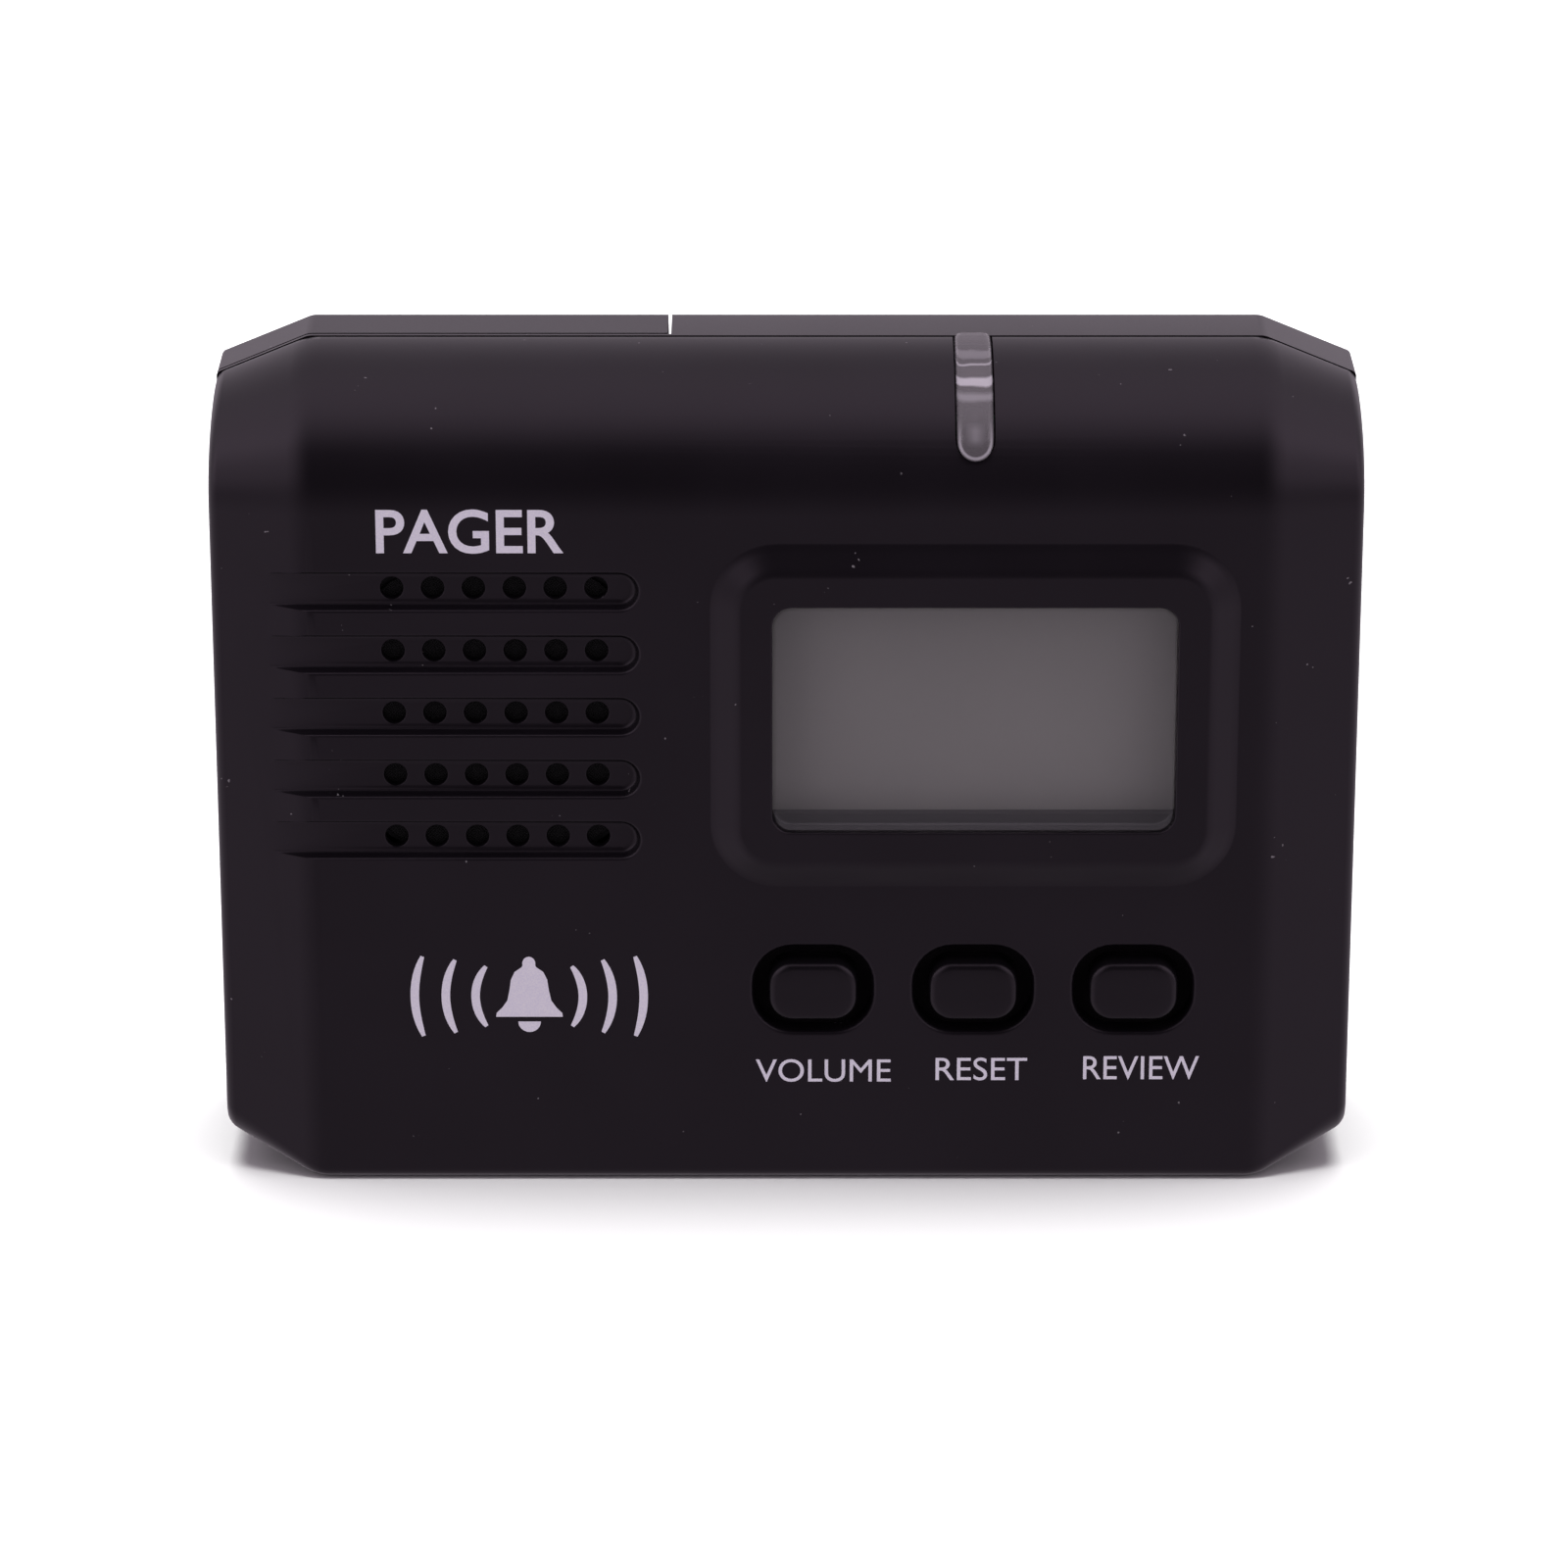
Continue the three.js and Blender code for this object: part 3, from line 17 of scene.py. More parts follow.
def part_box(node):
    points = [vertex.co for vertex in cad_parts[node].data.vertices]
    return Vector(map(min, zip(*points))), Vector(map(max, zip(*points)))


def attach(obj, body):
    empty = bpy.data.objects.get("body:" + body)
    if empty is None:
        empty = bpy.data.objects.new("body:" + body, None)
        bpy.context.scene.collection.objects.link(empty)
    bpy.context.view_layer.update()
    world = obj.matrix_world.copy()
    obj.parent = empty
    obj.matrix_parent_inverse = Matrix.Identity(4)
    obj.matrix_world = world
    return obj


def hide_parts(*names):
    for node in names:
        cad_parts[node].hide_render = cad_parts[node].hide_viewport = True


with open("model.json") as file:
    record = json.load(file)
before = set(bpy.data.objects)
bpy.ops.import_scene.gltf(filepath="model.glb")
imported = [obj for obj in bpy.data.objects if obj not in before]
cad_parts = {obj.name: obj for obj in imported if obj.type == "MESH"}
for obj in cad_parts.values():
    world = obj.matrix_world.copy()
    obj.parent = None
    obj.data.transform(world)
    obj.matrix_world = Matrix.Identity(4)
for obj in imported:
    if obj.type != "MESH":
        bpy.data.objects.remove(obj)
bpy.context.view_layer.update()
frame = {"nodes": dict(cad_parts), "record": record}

# %% Where things are
MM = 0.001
front_low, front_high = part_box("front_shell")
SHELL_GAP = 0.3
PARTING = front_high.y / MM + SHELL_GAP / 2  # the plane between the shells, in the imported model


def case_box(node):
    """The corners of a node in millimetres, with y counted from the parting plane."""
    low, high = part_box(node)
    shift = Vector((0, PARTING, 0))
    return low / MM - shift, high / MM - shift


CASE_WIDTH = (front_high.x - front_low.x) / MM
CASE_HEIGHT = front_high.z / MM
PLATEAU_RISE = 1.2
PLATEAU_Y = case_box("front_shell")[0].y
FRONT_Y = PLATEAU_Y + PLATEAU_RISE
print("case", round(CASE_WIDTH, 2), round(CASE_HEIGHT, 2), "front face at", round(FRONT_Y, 2))

# %% [markdown]
# ## Camera
# A catalogue view: the camera looks down at the front by twenty degrees. A short lens from near
# by would frame the pager as well, but it would splay the sides. A long lens from more than half
# a metre keeps them almost parallel, so that is what is used. The camera is placed by its
# distance and elevation rather than by hand, which makes both easy to change.

# %% Camera
CAMERA_DISTANCE, CAMERA_ELEVATION = 570, math.radians(20)
SENSOR_WIDTH, LENS = 36, 154.8
PIVOT = Vector((-0.2, PARTING - 3, 35))  # the camera stands back from here
AIM = Vector((-0.2, PARTING - 3, 31.37))  # and looks here, which sets the height in the view
camera_data = bpy.data.cameras.new("camera")
camera_data.sensor_width = SENSOR_WIDTH
camera_data.lens = LENS
camera_data.clip_start, camera_data.clip_end = 0.05, 20
camera = bpy.data.objects.new("camera", camera_data)
bpy.context.scene.collection.objects.link(camera)
bpy.context.scene.camera = camera
back = Vector((0, -math.cos(CAMERA_ELEVATION), math.sin(CAMERA_ELEVATION)))
camera.location = (PIVOT + CAMERA_DISTANCE * back) * MM
camera.rotation_euler = (AIM * MM - camera.location).to_track_quat("-Z", "Y").to_euler()
print("camera", [round(value, 4) for value in camera.location])

# %% [markdown]
# ## Hands
# A few short helpers stand for what a modeller's hands do: let go of everything, take hold of a
# piece, start from a primitive, apply a modifier, and cut one piece with another. Operators act
# on all that is selected, so each helper lets go of everything before it takes hold.

# %% Taking hold of pieces
def free():
    """Leaves edit mode and lets go of everything."""
    if bpy.context.object and bpy.context.object.mode != "OBJECT":
        bpy.ops.object.mode_set(mode="OBJECT")
    bpy.ops.object.select_all(action="DESELECT")


def take(piece):
    """Selects one piece and makes it the active one."""
    free()
    piece.select_set(True)
    bpy.context.view_layer.objects.active = piece
    return piece


def start(name, add, **settings):
    """Adds a primitive with nothing else selected and names it."""
    free()
    add(**settings)
    piece = bpy.context.object
    piece.name = piece.data.name = name
    return piece


def apply_modifier(piece, kind, **settings):
    """Adds a modifier with its settings and makes its result the mesh."""
    take(piece)
    modifier = piece.modifiers.new(kind.lower(), kind)
    for key, value in settings.items():
        setattr(modifier, key, value)
    bpy.ops.object.modifier_apply(modifier=modifier.name)
    return piece


def combine(piece, tool, operation):
    """Cuts, joins or trims a piece with a tool, and puts the tool away."""
    apply_modifier(piece, "BOOLEAN", operation=operation, object=tool, solver="EXACT")
    bpy.data.objects.remove(tool)
    return piece


# %% [markdown]
# ### Skins over rings
# Nearly every moulded piece here is one outline that changes as it goes back or across. It could
# be a block with bevel modifiers, but a bevel can't follow a crown whose radius changes. So a
# disc takes the first outline, and is extruded to each next outline in turn. The operator closes
# the sides, and an integer on each vertex says which point of the ring it is.

# %% Lofting and stacking
def loft(name, rings):
    """A closed skin: a disc takes the first ring's shape, and is extruded to each next one."""
    piece = start(
        name, bpy.ops.mesh.primitive_circle_add, vertices=len(rings[0]), fill_type="NGON",
    )
    bpy.ops.object.mode_set(mode="EDIT")
    mesh = bmesh.from_edit_mesh(piece.data)
    place = mesh.verts.layers.int.new("place")
    for number, vertex in enumerate(mesh.verts):
        vertex[place] = number
        vertex.co = rings[0][number]
    bmesh.update_edit_mesh(piece.data)
    bpy.ops.mesh.select_all(action="SELECT")
    for ring in rings[1:]:
        bpy.ops.mesh.extrude_region_move()
        mesh = bmesh.from_edit_mesh(piece.data)
        place = mesh.verts.layers.int["place"]
        for vertex in mesh.verts:
            if vertex.select:
                vertex.co = ring[vertex[place]]
        bmesh.update_edit_mesh(piece.data)
    bpy.ops.mesh.select_all(action="SELECT")
    bpy.ops.mesh.normals_make_consistent(inside=False)
    bpy.ops.object.mode_set(mode="OBJECT")
    return piece


def rounded_ring(width, height, radius, x, y, z, steps=8):
    """A rectangle with round corners, upright at y, as a ring of points."""
    ring = []
    corners = ((1, 1, 0), (-1, 1, 90), (-1, -1, 180), (1, -1, 270))
    for side_x, side_z, first in corners:
        for step in range(steps + 1):
            turn = math.radians(first + 90 * step / steps)
            across = side_x * (width / 2 - radius) + radius * math.cos(turn)
            up = side_z * (height / 2 - radius) + radius * math.sin(turn)
            ring.append(Vector((x + across, y, z + up)))
    return ring


def stacked(name, width, height, radius, x, z, profile, steps=8):
    """A rounded rectangle that grows and shrinks as it goes back: profile lists (grow, y)."""
    rings = []
    for grow, y in profile:
        size = max(radius + grow, 0.05)
        rings.append(rounded_ring(width + 2 * grow, height + 2 * grow, size, x, y, z, steps))
    return loft(name, rings)


def slab(name, low, high):
    """A plain block between two corners, for cutting with."""
    low, high = Vector(low), Vector(high)
    block = start(name, bpy.ops.mesh.primitive_cube_add, size=1, location=(low + high) / 2)
    block.scale = high - low
    bpy.ops.object.transform_apply(location=True, rotation=True, scale=True)
    return block


# %% [markdown]
# ## Finishes
# Each finish is a small set of nodes. They could be wired one by one, as by hand, but a page of
# links is hard to read. A short class lets the sums be written as sums: adding or multiplying two
# sockets adds the Math node that does it. Every other node comes from one method.

# %% Sums with sockets
class Sock:
    """An output socket that can be added, multiplied and compared like a number."""

    def __init__(self, tree, link):
        self.tree, self.link = tree, link

    def math(self, operation, *values, clamp=False):
        node = self.tree.nodes.new("ShaderNodeMath")
        node.operation, node.use_clamp = operation, clamp
        for socket, value in zip(node.inputs, values):
            if isinstance(value, Sock):
                self.tree.links.new(value.link, socket)
            else:
                socket.default_value = value
        return Sock(self.tree, node.outputs[0])

    def __add__(self, other):
        return self.math("ADD", self, other)

    def __radd__(self, other):
        return self.math("ADD", other, self)

    def __sub__(self, other):
        return self.math("SUBTRACT", self, other)

    def __rsub__(self, other):
        return self.math("SUBTRACT", other, self)

    def __mul__(self, other):
        return self.math("MULTIPLY", self, other)

    def __rmul__(self, other):
        return self.math("MULTIPLY", other, self)

    def above(self, edge, soft):
        """0 below the edge and 1 above it, with a soft step between."""
        return self.math("MULTIPLY", self - edge, 1 / soft, clamp=True)


class Nodes:
    """A node tree, and the one way in which a node is added to it."""

    def __init__(self, tree):
        self.tree = tree

    def give(self, socket, value):
        """Links a socket's value, or sets it."""
        if isinstance(value, Sock):
            self.tree.links.new(value.link, socket)
        else:
            socket.default_value = value

    def node(self, kind, output, settings=None, **values):
        """Adds one node: its settings first, then values or links for its sockets."""
        node = self.tree.nodes.new(kind)
        for key, value in (settings or {}).items():
            if key == "stops":
                self.set_stops(node.color_ramp.elements, value)
            else:
                setattr(node, key, value)
        for key, value in values.items():
            self.give(node.inputs[key.replace("_", " ")], value)
        return Sock(self.tree, node.outputs[output])

    def set_stops(self, elements, stops):
        """A ramp starts with two stops: the first is used, and the last makes way."""
        for number, (at, color) in enumerate(stops):
            stop = elements[0] if number == 0 else elements.new(at)
            stop.position, stop.color = at, color
        elements.remove(elements[-1])


class Finish(Nodes):
    """A material with one Principled shader, and the nodes that feed it."""

    def __init__(self, name, color, roughness, metallic=0.0, constants=None):
        self.material = bpy.data.materials.new(name)
        self.material.use_nodes = True
        super().__init__(self.material.node_tree)
        self.shader = next(n for n in self.tree.nodes if n.type == "BSDF_PRINCIPLED")
        self.set("Base Color", (*color, 1.0))
        self.set("Roughness", roughness)
        self.set("Metallic", metallic)
        for key, value in (constants or {}).items():
            self.set(key, value)
        self.material.diffuse_color = (*color, 1.0)
        self.where = self.node("ShaderNodeTexCoord", "Object")

    def set(self, socket, value):
        self.give(self.shader.inputs[socket], value)

    def place(self, axis):
        """How far along an axis a point lies, in metres."""
        return self.node("ShaderNodeSeparateXYZ", axis, Vector=self.where)

    def noise(self, size, detail=2.0, stretch=(1, 1, 1), seed=0.0):
        """Noise whose lumps are about `size` millimetres across, stretched along the axes."""
        scale = tuple(1 / (size * MM * s) for s in stretch)
        mapped = self.node(
            "ShaderNodeMapping", "Vector",
            Vector=self.where, Scale=scale, Location=(seed, seed, seed),
        )
        return self.node("ShaderNodeTexNoise", "Fac", Vector=mapped, Scale=1.0, Detail=detail)

    def mix(self, mask, one, other):
        """One colour where the mask is 0, the other where it is 1."""
        node = self.tree.nodes.new("ShaderNodeMix")
        node.data_type = "RGBA"
        for key, value in (("Factor_Float", mask), ("A_Color", one), ("B_Color", other)):
            socket = next(s for s in node.inputs if s.identifier == key)
            self.give(socket, (*value, 1.0) if isinstance(value, tuple) else value)
        output = next(s for s in node.outputs if s.identifier == "Result_Color")
        return Sock(self.tree, output)

    def bump(self, height, strength, depth):
        """Small relief: depth in millimetres."""
        self.set("Normal", self.node(
            "ShaderNodeBump", "Normal", Strength=strength, Distance=depth * MM, Height=height,
        ))


# %% [markdown]
# ### Moulded plastic
# Both shells are moulded with a fine eroded grain, so the highlights are broad and soft. The
# colour is nearly black with a trace of violet, and a few grains of dust lie on it. The grain is
# far too fine to model, so it is noise that feeds a Bump node and, a little, the roughness. The
# same function makes the satin keys and the plastics inside, with other numbers.

# %% Moulded plastic
PLASTIC_SHEEN = {"Specular IOR Level": 0.28, "Specular Tint": (1.0, 0.88, 1.0, 1.0)}
DUST_COLOR = (0.45, 0.44, 0.45)
PARTING_SHADE_REACH = (-0.19, 0.17)  # how far the painted shade at the parting reaches to its front and back


def moulded(
    name, color, roughness, grain=0.13, depth=0.01, dust=0.0, sheen=PLASTIC_SHEEN,
    matt_and_shade_behind=None, painted_parting_shade=False,
):
    """Moulded plastic. Behind a given depth it can be rougher and darker, as painted shade, and a
    rougher near-black band of painted shade can lie along the edge of each shell where the two meet."""
    finish = Finish(name, color, roughness, constants=sheen)
    fine = finish.noise(grain, 3.0)
    broad = finish.noise(14, 2.0, seed=3.0)
    darker = tuple(c * 0.82 for c in color)
    lighter = tuple(c * 1.16 for c in color)
    body = finish.mix(broad.above(0.3, 0.4), darker, lighter)
    if dust:
        speck = finish.noise(0.34, 0.0, seed=9.0).above(0.80, 0.03)
        patch = finish.noise(3.0, 0.0, seed=4.0).above(0.72, 0.02)
        body = finish.mix(speck * patch * dust, body, DUST_COLOR)
    rough = roughness - 0.05 + 0.06 * broad + 0.05 * fine
    if painted_parting_shade:
        # Painted shade: a near-black, rougher band along the parting, where shade falls between the
        # shells.
        from_parting = finish.place("Y") * (1 / MM) - PARTING
        front_edge, back_edge = (from_parting.above(edge, 0.02) for edge in PARTING_SHADE_REACH)
        line = front_edge * (1 - back_edge)
        body = finish.mix(line, body, (0.0003, 0.0003, 0.0003))
        rough = rough + line * 0.5
    if matt_and_shade_behind is not None:
        # Painted shade: behind that depth the plastic is darker, and also rougher.
        behind = finish.place("Y").above((matt_and_shade_behind + PARTING) * MM, 0.4 * MM)
        body = finish.mix(behind, body, (0.0012, 0.0010, 0.0011))
        rough = rough + behind * 0.6
    finish.set("Base Color", body)
    finish.set("Roughness", rough)
    finish.bump(fine, 0.3, depth)
    return finish.material


# %% Colours of the outer plastics
CASE_COLOR = (0.0066, 0.0055, 0.0074)
KEY_COLOR = (0.0050, 0.0044, 0.0056)
# Behind this depth from the front face the keys are rougher and darker: the darkening is painted
# shade in the gaps round them.
KEY_SHADE_DEPTH = 1.2
case_plastic = moulded("moulded_case", CASE_COLOR, 0.32, dust=0.45, painted_parting_shade=True)
key_plastic = moulded(
    "moulded_key", KEY_COLOR, 0.30, grain=0.1, depth=0.007,
    matt_and_shade_behind=FRONT_Y + KEY_SHADE_DEPTH,
)

# %% [markdown]
# ## The outline of the case
# Cut across, the case is a rounded crown at the top, a flat front and foot, and a bevelled back.
# Towards each end the outline falls over a slanted shoulder. It could be boxed and bevelled, but
# the crown's radius gets smaller as the shoulder falls, so the case is lofted over sections
# instead: one rule gives the section at any x. The front shell's crease and side edge are broad
# and soft, and the rear shell's are crisp, so each has its own pair of roundings.

# %% Sections of the case
SHOULDER_WIDTH, SHOULDER_DROP, FACET_DROP, REAR_FACET_DROP = 7.7, 3.2, 2.6, 0.9
CROWN, END_CROWN, FOOT, END_FOOT = 11.2, 8.1, 1.0, 2.6
REAR_Y, REAR_CHAMFER = 8.5, 2.2
FRONT_ROUND, REAR_ROUND = (1.1, 0.8), (0.35, 0.3)  # half the crease's width, side's radius
BEVEL_SLOPE = 0.586  # how much less the back's bevel reaches for each millimetre drawn in
CROWN_STEPS, FOOT_STEPS = 28, 8


def section(x, drop_share, inset):
    """The ring of the case at x: 0 is the middle's section, 1 the side wall's."""
    def between(middle, end):
        return middle + (end - middle) * drop_share
    front = FRONT_Y + between(0, FACET_DROP) + inset
    rear_fall = between(0, REAR_FACET_DROP)
    rear = REAR_Y - rear_fall - inset
    low = between(0, SHOULDER_DROP) + inset
    high = CASE_HEIGHT - low
    foot = max(between(FOOT, END_FOOT) - inset, 0.25)
    crown = between(CROWN, END_CROWN) - inset
    chamfer = REAR_CHAMFER - rear_fall - BEVEL_SLOPE * inset
    ring = []
    for step in range(FOOT_STEPS + 1):
        turn = math.pi + step / FOOT_STEPS * math.pi / 2
        ring.append((front + foot + foot * math.cos(turn), low + foot + foot * math.sin(turn)))
    for share in (0.0, 0.06, 0.94, 1.0):
        ring.append((rear - chamfer * (1 - share), low + chamfer * share))
    for share in (0.0, 0.06, 0.94, 1.0):
        ring.append((rear - chamfer * share, high - chamfer * (1 - share)))
    for step in range(CROWN_STEPS + 1):
        turn = step / CROWN_STEPS * math.pi / 2
        ring.append((front * math.sin(turn), high - crown + crown * math.cos(turn)))
    return [Vector((x, y, z)) for y, z in ring]


def shoulder(x, crease, crease_round):
    """How far down the shoulder x is, with the crease rounded into a parabola."""
    past = x - crease
    if past <= -crease_round:
        return 0.0
    if past < crease_round:
        return (past + crease_round) ** 2 / (4 * crease_round) / SHOULDER_WIDTH
    return past / SHOULDER_WIDTH


def case_body(name, inset, crease_round, side_round):
    """The whole case as one solid, with every face drawn in by the inset."""
    side = CASE_WIDTH / 2 - inset
    crease = CASE_WIDTH / 2 - SHOULDER_WIDTH - 0.2 * inset
    right = [(crease + crease_round * (step / 4 - 1), 0.0) for step in range(9)]
    right.append((side - side_round, 0.0))
    for step in range(1, 6):
        turn = step / 5 * math.pi / 2
        right.append((side - side_round * (1 - math.sin(turn)), side_round * (1 - math.cos(turn))))
    if not side_round:
        right = right[:10]  # the side wall once, not once for each step of its edge
    stations = [(-x, shrink) for x, shrink in reversed(right)] + right
    rings = [
        section(x, shoulder(abs(x), crease, crease_round), inset + shrink)
        for x, shrink in stations
    ]
    return loft(name, rings)


def keep_side(piece, y, keep_front, edge=0.12):
    """Saws a piece along the upright plane at y, closes it and breaks the sawn edge."""
    take(piece)
    bpy.ops.object.mode_set(mode="EDIT")
    bpy.ops.mesh.select_all(action="SELECT")
    bpy.ops.mesh.bisect(
        plane_co=(0, y, 0), plane_no=(0, 1, 0), use_fill=True,
        clear_outer=keep_front, clear_inner=not keep_front,
    )
    if edge:
        bpy.ops.mesh.select_mode(type="EDGE")
        bpy.ops.mesh.bevel(offset=edge, segments=2, affect="EDGES")
    bpy.ops.object.mode_set(mode="OBJECT")
    return piece


# %% [markdown]
# ## Front shell
# This is the piece that is seen first: a hollow shell with a raised frame round the window, three
# key openings and five grooves with holes for the sound. Modelling the openings into the skin's
# own faces would tie their shape to its rings. So the shell is sawn from the whole case and
# hollowed, and the openings are cut with Boolean tools. Their rims flare out, which leaves on
# each opening the soft edge that a mould does.

# %% Openings and their places
lens_low, lens_high = case_box("display_lens")
LENS_FLANGE = 1.5
WINDOW_X, WINDOW_Z = (lens_low.x + lens_high.x) / 2, (lens_low.z + lens_high.z) / 2
WINDOW_WIDTH = lens_high.x - lens_low.x - 2 * LENS_FLANGE
WINDOW_HEIGHT = lens_high.z - lens_low.z - 2 * LENS_FLANGE
WINDOW_RADIUS = 1.6
WALL = 2.0
PLATEAU_MARGIN, PLATEAU_SLOPE, PLATEAU_RADIUS = 2.83, 2.15, 3.2
KEYS = ("volume", "reset", "review")
KEY_WIDTH, KEY_HEIGHT, KEY_RADIUS, KEY_MARGIN = 7.4, 5.1, 2.0, 1.27
SPEAKER_X, SPEAKER_Z = -24.05, 41.52
GROOVE_ROWS, GROOVE_PITCH, GROOVE_RIGHT, GROOVE_DEPTH = 5, 5.45, -12.1, 1.06
HOLE_COLUMNS, HOLE_PITCH, HOLE_RADIUS = 6, 3.36, 0.95
window = (WINDOW_X, WINDOW_Z, WINDOW_WIDTH, WINDOW_HEIGHT)
print("window", [round(value, 2) for value in window])


def key_place(name):
    """The middle of a key, seen from the front."""
    low, high = case_box(name + "_key")
    return (low.x + high.x) / 2, (low.z + high.z) / 2


# %% The raised frame round the display
def display_plateau():
    """A low block whose slope is eased where it meets the front face and its own top."""
    slope = [
        (PLATEAU_SLOPE, FRONT_Y + WALL), (PLATEAU_SLOPE + 0.35, FRONT_Y + 0.02),
        (PLATEAU_SLOPE + 0.1, FRONT_Y - 0.03), (PLATEAU_SLOPE - 0.2, FRONT_Y - 0.15),
        (PLATEAU_SLOPE * 0.75, FRONT_Y - 0.3), (PLATEAU_SLOPE * 0.25, PLATEAU_Y + 0.3),
        (0.2, PLATEAU_Y + 0.14), (-0.1, PLATEAU_Y + 0.035), (-0.35, PLATEAU_Y),
    ]
    return stacked(
        "plateau", WINDOW_WIDTH + 2 * PLATEAU_MARGIN, WINDOW_HEIGHT + 2 * PLATEAU_MARGIN,
        PLATEAU_RADIUS, WINDOW_X, WINDOW_Z, slope, steps=12,
    )


# %% Cutting tools
NEARLY_ROUND = 0.999  # a corner radius of exactly half the width would double its points


def flared(y, depth, rim):
    """The profile of a cutter that enters at y: straight, with a quarter-round flared rim."""
    profile = [(0, y + depth), (0, y + rim)]
    for step in range(1, 5):
        turn = step / 4 * math.pi / 2
        profile.append((rim * (1 - math.cos(turn)), y + rim * (1 - math.sin(turn))))
    profile.append((rim, y - 3))
    return profile


def groove_height(row):
    """Row 0 is the highest groove."""
    return SPEAKER_Z + ((GROOVE_ROWS - 1) / 2 - row) * GROOVE_PITCH


def groove_tool(row):
    """A trough with rounded sides, a round right end, and a left end beyond the side wall."""
    z = groove_height(row)
    levels = [
        (0.95, GROOVE_DEPTH), (1.2, 1.0), (1.38, 0.85), (1.47, 0.6), (1.53, 0.32),
        (1.6, 0.13), (1.7, 0.035), (1.84, 0.0), (1.84, -1.5),
    ]
    rings = []
    for half, depth in levels:
        right = GROOVE_RIGHT - 1.65 + half
        left = -CASE_WIDTH / 2 - 6
        middle, width = (left + right) / 2, right - left
        rings.append(rounded_ring(
            width, 2 * half, half * NEARLY_ROUND, middle, FRONT_Y + depth, z, steps=10,
        ))
    return loft("groove_tool", rings)


def hole_tool(x, z, y, radius, rim=0.12):
    """A round cutter with a flared mouth, for the hole through the floor of a groove."""
    profile = flared(y, 4, rim)
    size = 2 * radius
    return stacked("hole_tool", size, size, radius * NEARLY_ROUND, x, z, profile, steps=5)


def joined(pieces):
    """Several separate tools as one, so that they cut at one go."""
    take(pieces[0])
    for piece in pieces[1:]:
        piece.select_set(True)
    bpy.ops.object.join()
    return bpy.context.object


# %% Shape the front shell
shell = keep_side(case_body("front_shell_skin", 0, *FRONT_ROUND), -SHELL_GAP / 2, True)
combine(shell, display_plateau(), "UNION")
cavity = case_body("cavity", WALL, FRONT_ROUND[0], 0)
combine(shell, keep_side(cavity, 1, True, edge=0), "DIFFERENCE")
window_tool = stacked(
    "window_tool", WINDOW_WIDTH, WINDOW_HEIGHT, WINDOW_RADIUS, WINDOW_X, WINDOW_Z,
    flared(PLATEAU_Y, 6, 0.16),
)
combine(shell, window_tool, "DIFFERENCE")
POCKET = 1.7  # room behind the frame for the window's flange
pocket_tool = stacked(
    "pocket_tool", WINDOW_WIDTH, WINDOW_HEIGHT, WINDOW_RADIUS, WINDOW_X, WINDOW_Z,
    [(POCKET, PLATEAU_Y + WALL), (POCKET, PLATEAU_Y + 7)],
)
combine(shell, pocket_tool, "DIFFERENCE")
KEY_OPENING_RADIUS = 3.3
KEY_OPENING = KEY_WIDTH + 2 * KEY_MARGIN, KEY_HEIGHT + 2 * KEY_MARGIN, KEY_OPENING_RADIUS
key_tools = []
for key in KEYS:
    x, z = key_place(key)
    key_tools.append(stacked("key_tool", *KEY_OPENING, x, z, flared(FRONT_Y, 4, rim=0.4)))
combine(shell, joined(key_tools), "DIFFERENCE")
combine(shell, joined([groove_tool(row) for row in range(GROOVE_ROWS)]), "DIFFERENCE")
hole_tools = []
for row in range(GROOVE_ROWS):
    for column in range(HOLE_COLUMNS):
        x = SPEAKER_X + (column - (HOLE_COLUMNS - 1) / 2) * HOLE_PITCH
        floor_y = FRONT_Y + GROOVE_DEPTH
        hole_tools.append(hole_tool(x, groove_height(row), floor_y, HOLE_RADIUS))
combine(shell, joined(hole_tools), "DIFFERENCE")
print("front shell:", len(shell.data.polygons), "faces")

# %% [markdown]
# ## Putting a piece in its place
# A finished piece is scaled to metres, moved to the imported model's frame and attached to the body
# it moves with, and the imported nodes it stands for are hidden. Its faces could all be smoothed,
# but that blurs real edges, so only those flatter than an angle are. Weighted normals then keep the
# big flat faces flat beside their roundings. The scale and place are applied to the mesh, because
# finishes read the coordinates of an object that sits at the origin.

# %% Finishing
SMOOTH_BELOW = math.radians(32)


def settle(piece, body, slot, material, *nodes):
    """Gives a piece its size, place, smoothing, material and body."""
    take(piece)
    piece.scale = (MM, MM, MM)
    piece.location = (0, PARTING * MM, 0)
    bpy.ops.object.transform_apply(location=True, rotation=True, scale=True)
    bpy.ops.object.shade_smooth_by_angle(angle=SMOOTH_BELOW)
    apply_modifier(piece, "WEIGHTED_NORMAL", keep_sharp=True, weight=60)
    piece.data.materials.clear()
    piece.data.materials.append(material)
    if "place" in piece.data.attributes:
        piece.data.attributes.remove(piece.data.attributes["place"])
    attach(piece, body)
    if nodes:
        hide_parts(*nodes)
    return piece


# %% [markdown]
# ## Light pipe
# A strip of clear plastic lies in a slot over the crown and carries the light of the alarm lamp
# to where it can be seen. Its face stands a little proud and its lower end is round. A curve with
# a bevel profile would give the bend but not the round end, so a bar is lofted across the slot,
# then trimmed by the strip's own outline as seen from the front. The slot is cut with the same
# outline, a tenth of a millimetre bigger.

# %% Light pipe slot and strip
pipe_low, pipe_high = case_box("light_pipe")
PIPE_X, PIPE_HALF = (pipe_low.x + pipe_high.x) / 2, (pipe_high.x - pipe_low.x) / 2
PIPE_END_Z, PIPE_PROUD, PIPE_THICKNESS = 63.35, 0.35, 2.3
PIPE_CLEARANCE, PIPE_STEPS = 0.12, 24


def crown_point(turn, inset):
    """A point of the crown's outline, drawn in by the inset; turn 0 is the top."""
    y = (FRONT_Y + inset) * math.sin(turn)
    return y, CASE_HEIGHT - CROWN + (CROWN - inset) * math.cos(turn)


